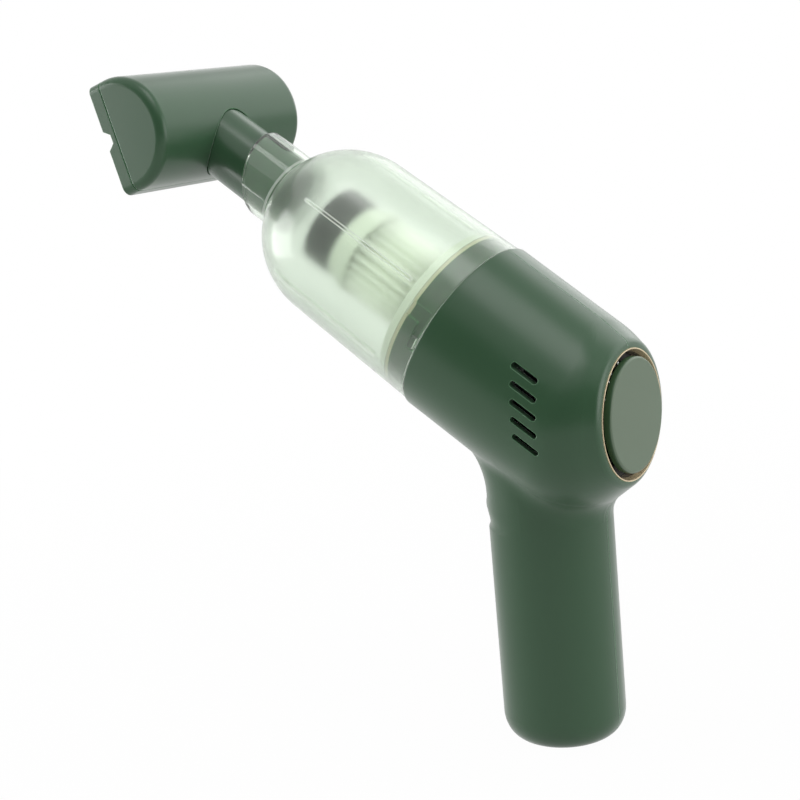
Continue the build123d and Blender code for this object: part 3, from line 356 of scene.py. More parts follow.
class CLEANER_PG_stage(bpy.types.PropertyGroup):
    """The camera and the light."""
    lens: bpy.props.FloatProperty(
        name="Lens", description="Focal length", default=73.11, precision=3, subtype="DISTANCE_CAMERA")
    camera_place: bpy.props.FloatVectorProperty(
        name="Camera", description="Where the camera stands",
        default=(0.26857, -0.47241, 0.23982), precision=5, subtype="TRANSLATION", unit="LENGTH")
    camera_turn: bpy.props.FloatVectorProperty(
        name="Camera turn", description="How the camera is turned",
        default=(math.radians(78.005), math.radians(5.1665), math.radians(33.631)), subtype="EULER")
    floor_radius: size_property("Floor radius", "Radius of the round floor", 6000.0)
    fade_radius: size_property("Fade radius", "Distance at which the camera sees a plain white floor", 600.0)
    floor_glow: level_property("Floor glow", "Share of plain white in the floor near the object", 0.98)
    card_radius: size_property("Card radius", "Distance of the dark card from the floor's middle", 1400.0)
    card_height: size_property("Card height", "Height of the dark card", 1100.0)
    card_from: angle_property("Card start", "Where the card starts, round the floor plan", -170.0)
    card_to: angle_property("Card end", "Where the card ends, round the floor plan", -5.0)
    room: level_property("Room light", "Strength of the even light of the room", 0.42, most=2.0)
    cup_light: level_property("Cup light", "Strength of the room's light inside the cup", 2.45, most=4.0)
    key: power_property("Left softbox", "Power of the large softbox at the left", 7.4)
    top: power_property("Top softbox", "Power of the softbox above", 3.7)
    back: power_property("Back softbox", "Power of the large softbox behind the object", 7.0)
    side: power_property("Right softbox", "Power of the softbox at the right", 5.8)


class CLEANER_OT_dress_housings(bpy.types.Operator):
    """Gives the body, the head, the tube, the button and the foot their green finishes"""
    bl_idname = "cleaner.dress_housings"
    bl_label = "Dress the housings"

    def execute(self, context):
        colours = context.scene.cleaner_colours
        sizes = context.scene.cleaner_sizes
        # ABS moulded in a spark-eroded mould: a satin skin with broad soft highlights.
        # The real texture is about 0.1 mm across, drawn as coarse as the render can show.
        # Its sharp edges get a painted highlight.
        abs_green = moulded("abs_spark_eroded_green", colours.housing, roughness=0.31,
                            grain=sizes.mould_grain, grain_height=sizes.mould_grain_height,
                            edge=sizes.soft_edge, IOR=1.53, Specular_IOR_Level=0.33, Sheen_Weight=0.5,
                            Sheen_Roughness=0.3)
        dress(abs_green, "shell_near", "shell_far", "head_housing", "mouth_frame", "power_button")
        # The same ABS from a polished mould, where the tube has to slide in the cup's neck.
        # Its sharp edges get a painted highlight too.
        abs_polished = moulded("abs_polished_green", colours.housing, roughness=0.26, grain=sizes.mould_grain,
                               grain_height=0.5 * sizes.mould_grain_height, polish=0.02, edge=sizes.soft_edge,
                               IOR=1.53)
        dress(abs_polished, "head_tube")
        # ABS from a plain machined mould, a little darker and glossier than the housings.
        # Its sharp edges get a stronger painted highlight.
        abs_dark = moulded("abs_plain_moulded_dark_green", colours.spigot, roughness=0.22, grain=0.8 * MM,
                           grain_height=0.004 * MM, edge=sizes.soft_edge, edge_highlight=6.0, IOR=1.53,
                           Specular_IOR_Level=0.4)
        dress(abs_dark, "spigot_ring", "handle_foot")
        # Sage green ABS; the cover's rim behind its face takes the darker spigot green.
        # Smoother and more even than the housings.
        abs_sage = moulded("abs_sprayed_sage", colours.cover, roughness=0.42, grain=0.35 * MM,
                           grain_height=0.004 * MM, tone=0.02, IOR=1.5, Specular_IOR_Level=0.4)
        tree = abs_sage.node_tree
        ahead = add(tree, "ShaderNodeSeparateXYZ", {"Vector": place_on(tree)}).outputs["X"]
        recolour(tree, ahead, start=sizes.sage_face_edge, fade=0.2 * MM, colour=colours.spigot)
        dress(abs_sage, "exhaust_cover")
        return {"FINISHED"}


class CLEANER_OT_dress_trim(bpy.types.Operator):
    """Turns the champagne ring, and gives it, the black pieces and the rubber rings their finishes"""
    bl_idname = "cleaner.dress_trim"
    bl_label = "Dress the trim"

    def execute(self, context):
        colours = context.scene.cleaner_colours
        sizes = context.scene.cleaner_sizes
        # ABS with a pearl lacquer: fine flakes under a thin gloss coat. The ring takes the CAD ring's place.
        pearl = moulded("abs_pearl_lacquered_champagne", colours.trim, roughness=0.28, grain=0.25 * MM,
                        grain_height=0.003 * MM, cloud=0.6 * MM, tone=0.1, Metallic=0.35, Coat_Weight=0.35,
                        Coat_Roughness=0.12)
        piece = surface("exhaust_bezel", *turned_bezel(sizes), pearl, "body", "trim_champagne")
        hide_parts("exhaust_trim_ring")
        # Nylon moulded black: matt, so the grille stays dark behind the cover.
        nylon = moulded("nylon_moulded_black", colours.black, roughness=0.55, grain=0.5 * MM,
                        grain_height=0.008 * MM, tone=0.15)
        dress(nylon, "exhaust_grille", "cell_holder_lower", "cell_holder_upper", "motor_end_bell",
              "switch_body", "port_tongue", "control_parts")
        # Silicone rubber, moulded: soft sheen and no sharp highlight.
        silicone = moulded("silicone_moulded_beige", colours.seal, roughness=0.6, grain=0.6 * MM,
                           grain_height=0.006 * MM, tone=0.06, IOR=1.43, Sheen_Weight=0.15)
        dress(silicone, "cup_seal", "motor_gasket")
        return {"FINISHED"}


def turned_bezel(sizes):
    """Points and faces of the exhaust's ring, turned round the X axis. The section is a closed line of
    corners, distance ahead of the exhaust's face and radius: a thin lip in front, then a cone that leads in
    to the grille. Each corner P turns into seven points P + w (last a + next b + pull (a + b)), with w the
    rounding's size, a and b the directions to the corners before and after it, and next the same row as last
    read backwards."""
    wall = 1.3 * MM
    ledge = 2.3 * MM
    outer = 22.19 * MM
    inner = outer - wall
    hollow = inner - ledge
    flange = 23.45 * MM
    front = 0.3 * MM
    cone_end = -1.6 * MM
    seat = -6.2 * MM
    back = -7.5 * MM
    corners = np.array(((front, outer), (front, outer - sizes.bezel_lip), (cone_end, inner), (seat, inner),
                        (seat, hollow), (back, hollow), (back, flange), (seat, flange), (seat, outer)))
    to_last = np.roll(corners, 1, axis=0) - corners
    to_next = np.roll(corners, -1, axis=0) - corners
    to_last = (to_last / np.linalg.norm(to_last, axis=1, keepdims=True))[:, None, :]
    to_next = (to_next / np.linalg.norm(to_next, axis=1, keepdims=True))[:, None, :]
    last = np.array((2.2, 1.0, 0.35, 0.0, 0.0, 0.0, 0.0))[None, :, None]
    pull = np.array((0.0, 0.0, 0.12, 0.25, 0.12, 0.0, 0.0))[None, :, None]
    turn = last * to_last + last[:, ::-1] * to_next + pull * (to_last + to_next)
    section = (corners[:, None, :] + sizes.bezel_edge * turn).reshape(-1, 2)
    around = 192
    angle = np.linspace(0, 2 * math.pi, around, endpoint=False)
    out = np.array((0.0, 0.0, 1.0)) * np.cos(angle)[:, None] + ACROSS * np.sin(angle)[:, None]
    ahead = section[:, 0, None, None] * np.array((1.0, 0.0, 0.0))
    points = EXHAUST_FACE + ahead + section[:, 1, None, None] * out[None, :, :]
    return points, grid_faces(len(section), around, close_rows=True)[:, ::-1]


class CLEANER_OT_dress_cup(bpy.types.Operator):
    """Gives the dust cup its see-through finish, frosted between the skirt and the neck"""
    bl_idname = "cleaner.dress_cup"
    bl_label = "Dress the cup"

    def execute(self, context):
        colours = context.scene.cleaner_colours
        sizes = context.scene.cleaner_sizes
        # Polycarbonate, moulded against a blasted core: the inside is frosted between the skirt and the
        # neck, so that the hollow looks milky. The outside is smooth, and the neck is polished.
        material, tree, place = begin("polycarbonate_moulded_frosted_inside")
        along, radius, outward = beside_axis(tree, place)
        skirt_end = sizes.frost_start + sizes.frost_fade
        neck_start = sizes.frost_end + sizes.frost_fade
        patch = 0.02
        highlight_cover = 0.5
        rise = ramp(tree, along, sizes.frost_start, skirt_end, bend="SMOOTHSTEP")
        fall = ramp(tree, along, sizes.frost_end, neck_start, low=1.0, high=0.0, bend="SMOOTHSTEP")
        inner = inside_wall(tree, along, radius, sizes)
        frost = number(tree, "MULTIPLY", number(tree, "MULTIPLY", rise, fall), inner)
        broad = noise(tree, place, size=18 * MM)
        blast = noise(tree, place, size=0.4 * MM, detail=1.0)
        patchy = ramp(tree, broad, low=sizes.frost_roughness - patch, high=sizes.frost_roughness + patch)
        outer = ramp(tree, along, sizes.frost_end, neck_start, sizes.skin_roughness, sizes.clear_roughness)
        skin = ramp(tree, inner, low=outer, high=sizes.clear_roughness)
        feed(tree, ramp(tree, frost, low=skin, high=patchy), "Roughness")
        clearness = ramp(tree, frost, low=0.98, high=0.93)
        # Painted highlights: on thin lines round the ribs and the neck's base the cup is less clear and shows
        # its pale tint.
        line = number(tree, "MAXIMUM", rib_highlight_line(tree, along, radius, outward, sizes),
                      neck_ring_highlights(tree, along, sizes))
        feed(tree, number(tree, "MULTIPLY_ADD", line, -highlight_cover, clearness), "Transmission Weight")
        tint(tree, broad, colours.cup, low=0.98, high=1.01)
        soft_normal = add(tree, "ShaderNodeBevel", {"Radius": 0.2 * MM}, samples=6).outputs["Normal"]
        relief(tree, number(tree, "MULTIPLY", blast, frost), depth=0.004 * MM, normal=soft_normal)
        set_shader(tree, IOR=1.5)
        stain = add(tree, "ShaderNodeVolumeAbsorption", {
            "Color": shade(colours.cup_depth, 1.0), "Density": sizes.stain_density,
        })
        tree.links.new(stain.outputs["Volume"], tree.nodes["Material Output"].inputs["Volume"])
        dress(material, "dust_cup")
        return {"FINISHED"}


def beside_axis(tree, place):
    """Distance along the barrel's axis, distance from it, and the vector that leads from it to the place."""
    offset = arrow(tree, "SUBTRACT", place, BARREL_BASE.tolist())
    along = measure(tree, "DOT_PRODUCT", offset, FORWARD.tolist())
    on_axis = add(tree, "ShaderNodeVectorMath", {0: FORWARD.tolist(), "Scale": along}, operation="SCALE")
    outward = arrow(tree, "SUBTRACT", offset, on_axis.outputs["Vector"])
    return along, measure(tree, "LENGTH", outward), outward


def inside_wall(tree, along, radius, sizes):
    """1 on the inner face of the cup's wall and 0 on the outer one. With a the distance along the axis past
    the dome's start and r the distance from the axis, the middle of the wall lies where the length of (r, a)
    is wall_middle plus dome_drift times a on the dome, and where r is wall_middle less wall_taper times a on
    the tapered wall, where a is negative."""
    dome_drift = 0.014
    wall_taper = 0.018
    past = number(tree, "SUBTRACT", along, sizes.cup_front)
    ahead = number(tree, "MAXIMUM", past, 0.0)
    behind = number(tree, "MINIMUM", past, 0.0)
    domed = number(tree, "MULTIPLY_ADD", ahead, -dome_drift, reach(tree, radius, ahead))
    tapered = number(tree, "MULTIPLY_ADD", behind, wall_taper, domed)
    return number(tree, "LESS_THAN", tapered, sizes.wall_middle)


def rib_highlight_line(tree, along, radius, outward, sizes):
    """1 on a thin line round each of the cup's ribs: a painted highlight where the rib's root catches the
    light.
    With q the distance past the rib's straight part and d the distance to its middle line, the line lies
    where the length of (q, d) is half the rib's width."""
    up = measure(tree, "DOT_PRODUCT", outward, UPWARD.tolist())
    side = measure(tree, "DOT_PRODUCT", outward, ACROSS.tolist())
    half_pitch = math.pi / sizes.rib_count
    wrapped = number(tree, "WRAP", number(tree, "ARCTAN2", side, up), half_pitch, -half_pitch)
    beside = number(tree, "MULTIPLY", wrapped, radius)
    straight = (sizes.rib_end - sizes.rib_start - sizes.rib_width) / 2
    distance = off_from(tree, along, (sizes.rib_start + sizes.rib_end) / 2)
    past = number(tree, "MAXIMUM", number(tree, "SUBTRACT", distance, straight), 0.0)
    return drawn_line(tree, reach(tree, past, beside), sizes.rib_width / 2, sizes)


def neck_ring_highlights(tree, along, sizes):
    """1 on two thin lines round the neck's base, painted highlights where its foot is stepped."""
    distance = off_from(tree, along, sizes.ring_start + sizes.ring_pitch / 2)
    return drawn_line(tree, distance, sizes.ring_pitch / 2, sizes)


def off_from(tree, value, target):
    """How far value is off from target."""
    return number(tree, "ABSOLUTE", number(tree, "SUBTRACT", value, target))


def drawn_line(tree, distance, target, sizes):
    """1 where the distance is off from target by under half the line's width, and 0 a little further off."""
    gap = off_from(tree, distance, target)
    edge = 0.5 * sizes.line_width
    end = 0.8 * sizes.line_width
    return ramp(tree, gap, edge, end, low=1.0, high=0.0, bend="SMOOTHSTEP")


class CLEANER_OT_dress_filter(bpy.types.Operator):
    """Gives the filter's frame, end ring and cap their finishes"""
    bl_idname = "cleaner.dress_filter"
    bl_label = "Dress the filter"

    def execute(self, context):
        colours = context.scene.cleaner_colours
        sizes = context.scene.cleaner_sizes
        # ABS moulded off-white: plain and slightly waxy.
        frame_white = moulded("abs_moulded_off_white", colours.filter_frame, roughness=0.45, grain=0.6 * MM,
                              grain_height=0.005 * MM)
        dress(frame_white, "filter_frame", "filter_end_ring")
        # ABS moulded dark grey with a matt texture, over a foot in the frame's off-white.
        cap_grey = moulded("abs_moulded_dark_grey", colours.filter_cap, roughness=0.5, grain=0.6 * MM,
                           grain_height=0.008 * MM)
        tree = cap_grey.node_tree
        along = beside_axis(tree, place_on(tree))[0]
        recolour(tree, along, start=sizes.cap_foot, fade=2.5 * MM, colour=colours.filter_frame)
        dress(cap_grey, "filter_cap")
        return {"FINISHED"}


class CLEANER_OT_fold_filter_paper(bpy.types.Operator):
    """Folds the filter paper into a ring of rounded pleats round the cage"""
    bl_idname = "cleaner.fold_filter_paper"
    bl_label = "Fold the filter paper"

    def execute(self, context):
        colours = context.scene.cleaner_colours
        sizes = context.scene.cleaner_sizes
        # Cellulose filter paper, creped: matt, with a faint fibre and a soft edge to each fold.
        material, tree, place = begin("cellulose_paper_creped")
        fibre = noise(tree, place, size=0.5 * MM, detail=4.0)
        tint(tree, noise(tree, place, size=6 * MM), colours.filter_paper, low=0.93, high=1.03)
        # Painted shade: the inner quarter of the folds' depth is darker, and the next 0.6 of it fades into
        # the paper's colour.
        radius = beside_axis(tree, place)[1]
        fold_shade_start = sizes.fold_peak - 0.75 * sizes.fold_depth
        recolour(tree, radius, start=fold_shade_start, fade=0.6 * sizes.fold_depth, colour=colours.filter_fold_shade)
        feed(tree, ramp(tree, fibre, low=0.8, high=0.95), "Roughness")
        relief(tree, fibre, depth=0.05 * MM)
        low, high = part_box("filter_pleats")
        piece = surface("filter_paper", *folded_ring(sizes, low, high), material, "filter", "filter_paper")
        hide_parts("filter_pleats")
        return {"FINISHED"}


def folded_ring(sizes, low, high):
    """Points and faces of the folded paper. A point's distance from the axis is the middle radius plus half
    the depth times a rounded triangle wave of the angle, asin(k cos(n angle)) / asin(k) with k the sharpness
    and n the number of folds, plus half the paper's thickness outside and minus it inside. The four profile
    points close into a ring, so the paper is solid."""
    sharpness = 0.97
    points_per_fold = 16
    around = points_per_fold * sizes.fold_count
    angle = np.linspace(0, 2 * math.pi, around, endpoint=False)
    wave = np.arcsin(sharpness * np.cos(sizes.fold_count * angle)) / math.asin(sharpness)
    middle = sizes.fold_peak - sizes.paper / 2 - sizes.fold_depth / 2 + sizes.fold_depth / 2 * wave
    start, end = paper_ends(low, high)
    along = np.array((start, end, end, start))[:, None]
    side = np.array((1, 1, -1, -1))[:, None]
    radius = middle[None, :] + side * sizes.paper / 2
    out = UPWARD * np.cos(angle)[None, :, None] + ACROSS * np.sin(angle)[None, :, None]
    points = BARREL_BASE + along[..., None] * FORWARD + radius[..., None] * out
    return points, grid_faces(4, around, close_rows=True)[:, ::-1]


def paper_ends(low, high):
    """Where the paper starts and ends along the axis, from the box of the CAD node: a disc of radius r and
    length l, tilted by the barrel's tilt, measures l cos + 2 r sin along X."""
    radius = (high.y - low.y) / 2
    length = (high.x - low.x - 2 * radius * math.sin(TILT)) / math.cos(TILT)
    middle = (np.array(low) + np.array(high)) / 2
    centre = float((middle - BARREL_BASE) @ FORWARD)
    return centre - length / 2, centre + length / 2


class CLEANER_OT_raise_lint_pile(bpy.types.Operator):
    """Raises a short pile on the two lint strips of the mouth"""
    bl_idname = "cleaner.raise_lint_pile"
    bl_label = "Raise the lint pile"

    def execute(self, context):
        colours = context.scene.cleaner_colours
        sizes = context.scene.cleaner_sizes
        # Nylon pile on a woven tape: a colour that differs at random over the pile, with a soft sheen.
        material, tree, place = begin("nylon_pile_woven")
        tufts = noise(tree, place, size=0.6 * MM)
        tint(tree, tufts, colours.lint, low=0.6, high=1.5)
        relief(tree, tufts, depth=0.1 * MM)
        set_shader(tree, Roughness=0.85, Sheen_Weight=0.5, Sheen_Roughness=0.4)
        piece = surface("lint_pile", *pile(sizes), material, "head", "lint_pile", smooth=False)
        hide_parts("lint_strips")
        return {"FINISHED"}


def pile(sizes):
    """Points and faces of both strips. Tufts stand on a staggered grid over each strip's woven tape, each a
    tapered five-point spike that leans by a seeded random share of its height. The tape is a plain box."""
    half_length = 31.3 * MM
    half_width = 1.15 * MM
    spacing = 0.42 * MM
    foot = 0.17 * MM
    strip_back = 5.8 * MM
    strip_front = 7.4 * MM
    centre_up = 18.45 * MM
    rooted = 0.05 * MM
    most_lean = 0.15
    least_height = 0.75
    seed = 7
    tape_front = strip_front - sizes.pile_height
    rng = np.random.default_rng(seed)
    across = np.arange(-half_length + 2 * foot, half_length - 2 * foot, spacing)
    up = np.arange(-half_width + foot, half_width - foot + spacing / 2, spacing)
    side, tuft_across, tuft_up = np.meshgrid((1.0, -1.0), across, up, indexing="ij")
    tuft_across = (tuft_across + (np.arange(len(up)) % 2) * spacing / 4).reshape(-1, 1)
    tuft_up = (tuft_up + side * centre_up).reshape(-1, 1)
    count = len(tuft_up)
    lean = rng.uniform(-most_lean, most_lean, (count, 2)) * sizes.pile_height
    height = (sizes.pile_height + rooted) * rng.uniform(least_height, 1.0, (count, 1))
    root = HEAD_CENTRE + MOUTH_OUT * (tape_front - rooted) + tuft_across * ACROSS + tuft_up * MOUTH_UP
    feet = np.array(((-1, -1), (1, -1), (1, 1), (-1, 1))) * foot
    base = root[:, None, :] + feet[None, :, 0:1] * ACROSS + feet[None, :, 1:2] * MOUTH_UP
    tip = root + height * MOUTH_OUT + lean[:, 0:1] * ACROSS + lean[:, 1:2] * MOUTH_UP
    tufts = np.concatenate((base, tip[:, None, :]), axis=1).reshape(-1, 3)
    spike = np.array(((0, 1, 4), (1, 2, 4), (2, 3, 4), (3, 0, 4), (1, 0, 3), (1, 3, 2)))
    tuft_faces = (np.arange(count)[:, None, None] * 5 + spike[None]).reshape(-1, 3)
    out, row, rise = np.meshgrid((strip_back, tape_front), (-half_length, half_length),
                                 (-half_width, half_width), indexing="ij")
    box = out.reshape(-1, 1) * MOUTH_OUT + row.reshape(-1, 1) * ACROSS + rise.reshape(-1, 1) * MOUTH_UP
    tapes = np.concatenate([HEAD_CENTRE + box + way * centre_up * MOUTH_UP for way in (1, -1)])
    sheet = np.array(((0, 1, 3), (0, 3, 2), (4, 6, 7), (4, 7, 5), (0, 4, 5), (0, 5, 1),
                      (2, 3, 7), (2, 7, 6), (0, 2, 6), (0, 6, 4), (1, 5, 7), (1, 7, 3)))
    tape_faces = np.concatenate((sheet, sheet + 8)) + len(tufts)
    return np.concatenate((tufts, tapes)), np.concatenate((tuft_faces, tape_faces))


class CLEANER_OT_dress_motor(bpy.types.Operator):
    """Gives the fan, the motor and the screws their finishes"""
    bl_idname = "cleaner.dress_motor"
    bl_label = "Dress the motor"

    def execute(self, context):
        colours = context.scene.cleaner_colours
        # Glass-filled nylon, moulded: grey and slightly mottled.
        fan_nylon = moulded("nylon_glass_filled_grey", colours.fan, roughness=0.5, grain=0.7 * MM,
                            grain_height=0.01 * MM, cloud=6 * MM, tone=0.1)
        dress(fan_nylon, "fan_shroud", "diffuser", "impeller")
        dress(turned_steel(colours.steel), "motor_can", "motor_shaft", "bearing_front", "bearing_rear",
              "motor_screws", "shell_screws", "charge_port", "cell_tabs")
        # Copper wire with a clear enamel, wound in rows 1 mm apart along Y: the wave texture makes
        # 20 / (2 pi) rows, about 3.2, in each unit of its place.
        material, tree, place = begin("copper_wire_enamelled")
        turned = add(tree, "ShaderNodeMapping", {"Vector": place, "Rotation": (0.0, TILT, 0.0)})
        rows = add(tree, "ShaderNodeTexWave", {
            "Vector": turned.outputs["Vector"], "Scale": 1 / (3.2 * MM), "Distortion": 1.5, "Detail": 1.0,
        }, bands_direction="Y").outputs["Fac"]
        # The copper darkens in the gaps between the turns and pales on their crests: painted shade and
        # painted highlight.
        tint(tree, rows, colours.copper, low=0.5, high=1.2)
        relief(tree, rows, depth=0.1 * MM)
        set_shader(tree, Metallic=1.0, Roughness=0.35, Coat_Weight=0.5, Coat_Roughness=0.15)
        dress(material, "motor_armature")
        # Ferrite, pressed and sintered: dull charcoal with a fine grain.
        ferrite = moulded("ferrite_sintered", colours.ferrite, roughness=0.65, grain=0.4 * MM,
                          grain_height=0.02 * MM, cloud=3 * MM, tone=0.2)
        dress(ferrite, "motor_magnets")
        return {"FINISHED"}


def turned_steel(colour):
    """Zinc-plated steel, drawn and turned: fine lines at right angles to X, and a soft bright sheen."""
    material, tree, place = begin("steel_zinc_plated_turned")
    line_spacing = 0.3 * MM
    line_length = 6 * MM
    turned = add(tree, "ShaderNodeMapping", {
        "Vector": place, "Rotation": (0.0, TILT, 0.0),
        "Scale": (1 / line_spacing, 1 / line_length, 1 / line_length),
    })
    lines = noise(tree, turned.outputs["Vector"], size=1.0, detail=3.0)
    tint(tree, lines, colour, low=0.85, high=1.05)
    feed(tree, ramp(tree, lines, low=0.22, high=0.42), "Roughness")
    relief(tree, lines, depth=0.005 * MM)
    set_shader(tree, Metallic=1.0)
    return material


class CLEANER_OT_dress_cells_and_boards(bpy.types.Operator):
    """Gives the cells and the boards their finishes"""
    bl_idname = "cleaner.dress_cells_and_boards"
    bl_label = "Dress the cells and boards"

    def execute(self, context):
        colours = context.scene.cleaner_colours
        # PVC sleeve shrunk over the cell: glossy, with faint ripples along it.
        wrap = moulded("pvc_shrunk_sleeve", colours.cell_wrap, roughness=0.28, grain=2.5 * MM,
                       grain_height=0.05 * MM, tone=0.04, Coat_Weight=0.3, Coat_Roughness=0.1)
        dress(wrap, "cell_front", "cell_rear")
        # Glass-fibre laminate under solder mask: the weave shows faintly as a 1 mm checker of light and dark.
        material, tree, place = begin("laminate_solder_masked")
        weave = add(tree, "ShaderNodeTexChecker", {
            "Vector": place, "Scale": 1 / (1.0 * MM),
            "Color1": shade(colours.laminate, 0.85), "Color2": shade(colours.laminate, 1.15),
        })
        feed(tree, weave.outputs["Color"], "Base Color")
        relief(tree, weave.outputs["Fac"], depth=0.01 * MM)
        set_shader(tree, Roughness=0.3, Coat_Weight=0.5, Coat_Roughness=0.1)
        dress(material, "charge_board", "control_board", "switch_board")
        return {"FINISHED"}


class CLEANER_OT_set_stage(bpy.types.Operator):
    """Sets the pale floor, the white room, the softboxes and the camera"""
    bl_idname = "cleaner.set_stage"
    bl_label = "Set the stage"

    def execute(self, context):
        stage = context.scene.cleaner_stage
        colours = context.scene.cleaner_colours
        self.lay_floor(stage, colours)
        self.light_room(context.scene, stage)
        self.hang_softboxes(stage)
        self.stand_card(stage, colours)
        self.place_camera(context.scene, stage)
        return {"FINISHED"}

    def lay_floor(self, stage, colours):
        """A round floor under the object: rings of points on a polar grid about a middle point."""
        around = 96
        glow_start = 0.1
        ring_shares = np.array((0.3, 1.0))
        angle = np.linspace(0, 2 * math.pi, around, endpoint=False)
        rings = ring_shares * stage.floor_radius
        ring_points = np.stack((rings[:, None] * np.cos(angle), rings[:, None] * np.sin(angle),
                                np.zeros((len(rings), around))), axis=-1)
        points = np.concatenate((ring_points.reshape(-1, 3), np.zeros((1, 3))))
        quads = grid_faces(len(rings), around)[:, ::-1].tolist()
        middle = len(rings) * around
        fan = [(middle, i, (i + 1) % around) for i in range(around)]
        mesh = bpy.data.meshes.new("floor")
        mesh.from_pydata(points.tolist(), [], quads + fan)
        material, tree, place = begin("paper_sweep_matt_white")
        tint(tree, noise(tree, place, size=1.5 * MM), colours.floor, low=0.99, high=1.01)
        set_shader(tree, Roughness=0.9, Specular_IOR_Level=0.1)
        white = add(tree, "ShaderNodeEmission", {"Color": (1, 1, 1, 1), "Strength": 1.0})
        distance = measure(tree, "LENGTH", place)
        glow = ramp(tree, distance, glow_start, stage.fade_radius, low=stage.floor_glow, high=1.0)
        mixed = add(tree, "ShaderNodeMixShader", {
            0: number(tree, "MULTIPLY", seen(tree), glow),
            1: tree.nodes["Principled BSDF"].outputs["BSDF"], 2: white.outputs["Emission"],
        })
        tree.links.new(mixed.outputs["Shader"], tree.nodes["Material Output"].inputs["Surface"])
        mesh.materials.append(material)
        floor = bpy.data.objects.new("floor", mesh)
        bpy.context.scene.collection.objects.link(floor)

    def light_room(self, scene, stage):
        """A white room for the camera, for reflections and through the cup, and an even light for the rest.
        On what stands inside the cup the room shines cup_light times as strongly."""
        world = bpy.data.worlds.new("room")
        world.use_nodes = True
        tree = world.node_tree
        even = tree.nodes["Background"]
        even.inputs["Color"].default_value = (1, 1, 1, 1)
        even.inputs["Strength"].default_value = stage.room
        rays = add(tree, "ShaderNodeLightPath")
        inside = number(tree, "MULTIPLY", rays.outputs["Diffuse Depth"], rays.outputs["Is Transmission Ray"])
        through = ramp(tree, inside, low=1.0, high=stage.cup_light)
        white = add(tree, "ShaderNodeBackground", {"Color": (1, 1, 1, 1), "Strength": through})
        mixed = add(tree, "ShaderNodeMixShader", {
            0: seen(tree), 1: even.outputs["Background"], 2: white.outputs["Background"],
        })
        tree.links.new(mixed.outputs["Shader"], tree.nodes["World Output"].inputs["Surface"])
        scene.world = world
        scene.view_settings.view_transform = "Standard"

    def hang_softboxes(self, stage):
        """Four area lamps that all face the object's middle."""
        middle = Vector((-0.03, 0.0, 0.13))
        for name, way, distance, width, height, power in (
            ("softbox_left", (-0.90, -0.40, 0.08), 0.9, 0.6, 0.8, stage.key),
            ("softbox_top", (0.28, -0.20, 0.94), 1.1, 0.6, 0.6, stage.top),
            ("softbox_back", (0.20, 0.80, 0.45), 1.3, 1.6, 1.1, stage.back),
            ("softbox_right", (0.95, 0.20, 0.08), 1.1, 0.8, 0.8, stage.side),
        ):
            lamp = bpy.data.lights.new(name, "AREA")
            lamp.shape = "RECTANGLE"
            lamp.size = width
            lamp.size_y = height
            lamp.energy = power
            holder = bpy.data.objects.new(name, lamp)
            direction = Vector(way).normalized()
            holder.location = middle + direction * distance
            holder.rotation_euler = direction.to_track_quat("Z", "Y").to_euler()
            holder.visible_transmission = False
            bpy.context.scene.collection.objects.link(holder)

    def stand_card(self, stage, colours):
        """A dark curved card behind the camera that only reflections see, so that rounded edges show a dark
        band between the lamps. A point is radius (cos angle, sin angle) on the floor plan, and its height."""
        columns = 49
        rows = 13
        angle = np.linspace(stage.card_from, stage.card_to, columns)
        height = np.linspace(0.0, stage.card_height, rows)
        plan = np.stack((np.cos(angle), np.sin(angle), np.zeros(len(angle))), axis=-1) * stage.card_radius
        points = plan[None, :, :] + height[:, None, None] * np.array((0.0, 0.0, 1.0))
        corner = (np.arange(rows - 1)[:, None] * columns + np.arange(columns - 1)[None, :]).reshape(-1)
        faces = np.stack((corner, corner + columns, corner + columns + 1, corner + 1), axis=-1)
        mesh = bpy.data.meshes.new("reflection_card")
        mesh.from_pydata(points.reshape(-1, 3).tolist(), [], faces.tolist())
        felt = moulded("felt_black", colours.card, roughness=0.95, grain=2 * MM, grain_height=0.2 * MM)
        mesh.materials.append(felt)
        card = bpy.data.objects.new("reflection_card", mesh)
        bpy.context.scene.collection.objects.link(card)
        card.visible_camera = False
        card.visible_diffuse = False
        card.visible_transmission = False
        card.visible_shadow = False

    def place_camera(self, scene, stage):
        """The camera of the reference view, on a 36 mm wide sensor."""
        lens = bpy.data.cameras.new("camera")
        lens.sensor_width = 36.0
        lens.lens = stage.lens
        lens.clip_start = 0.01
        camera = bpy.data.objects.new("camera", lens)
        camera.location = stage.camera_place
        camera.rotation_euler = stage.camera_turn
        scene.collection.objects.link(camera)
        scene.camera = camera


def seen(tree):
    """1 for the rays of the camera, of reflections and through the cup, and 0 for the rest."""
    rays = add(tree, "ShaderNodeLightPath")
    first = number(tree, "MAXIMUM", rays.outputs["Is Camera Ray"], rays.outputs["Is Glossy Ray"])
    return number(tree, "MAXIMUM", first, rays.outputs["Is Transmission Ray"])


OPERATORS = (
    CLEANER_OT_dress_housings,
    CLEANER_OT_dress_trim,
    CLEANER_OT_dress_cup,
    CLEANER_OT_dress_filter,
    CLEANER_OT_fold_filter_paper,
    CLEANER_OT_raise_lint_pile,
    CLEANER_OT_dress_motor,
    CLEANER_OT_dress_cells_and_boards,
    CLEANER_OT_set_stage,
)


class CLEANER_PT_panel(bpy.types.Panel):
    """Sizes, colours and steps of the cleaner"""
    bl_label = "Handheld vacuum cleaner"
    bl_space_type = "VIEW_3D"
    bl_region_type = "UI"
    bl_category = "Cleaner"

    def draw(self, context):
        layout = self.layout
        for group in (getattr(context.scene, name) for name in GROUPS):
            box = layout.box()
            for name in group.bl_rna.properties.keys():
                if name not in ("rna_type", "name"):
                    box.prop(group, name)
        for operator in OPERATORS:
            layout.operator(operator.bl_idname)


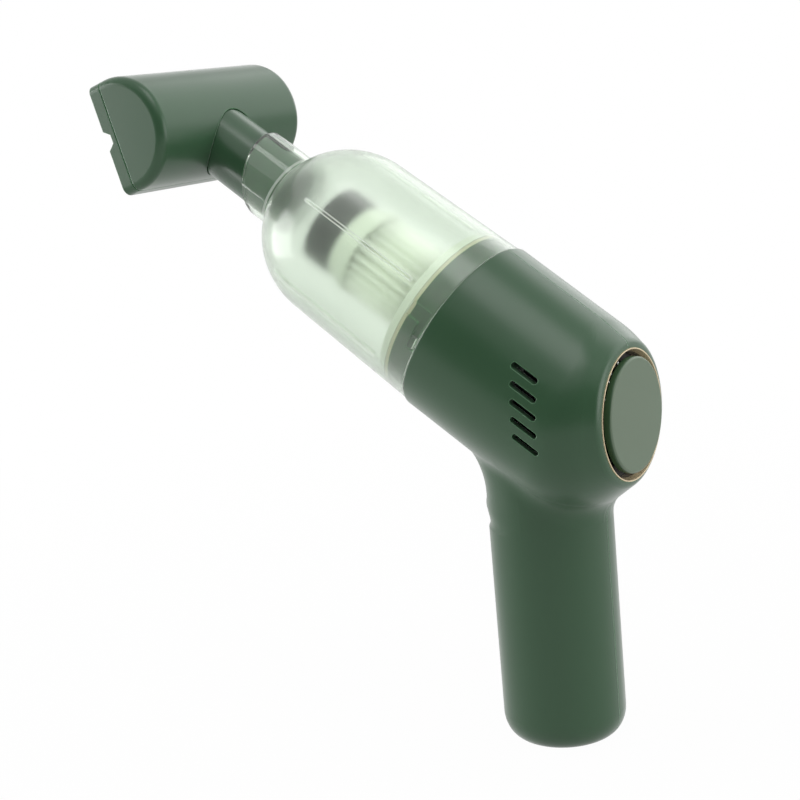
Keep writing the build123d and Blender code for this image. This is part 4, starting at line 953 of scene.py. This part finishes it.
GROUPS = {
    "cleaner_sizes": CLEANER_PG_sizes,
    "cleaner_colours": CLEANER_PG_colours,
    "cleaner_stage": CLEANER_PG_stage,
}


def register():
    for name, group in GROUPS.items():
        bpy.utils.register_class(group)
        setattr(bpy.types.Scene, name, bpy.props.PointerProperty(type=group))
    for operator in OPERATORS:
        bpy.utils.register_class(operator)
    bpy.utils.register_class(CLEANER_PT_panel)


def unregister():
    bpy.utils.unregister_class(CLEANER_PT_panel)
    for operator in reversed(OPERATORS):
        bpy.utils.unregister_class(operator)
    for name, group in GROUPS.items():
        delattr(bpy.types.Scene, name)
        bpy.utils.unregister_class(group)


def main():
    """Registers the add-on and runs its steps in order."""
    register()
    for operator in OPERATORS:
        group, step = operator.bl_idname.split(".")
        getattr(getattr(bpy.ops, group), step)()


if __name__ == "__main__":
    main()
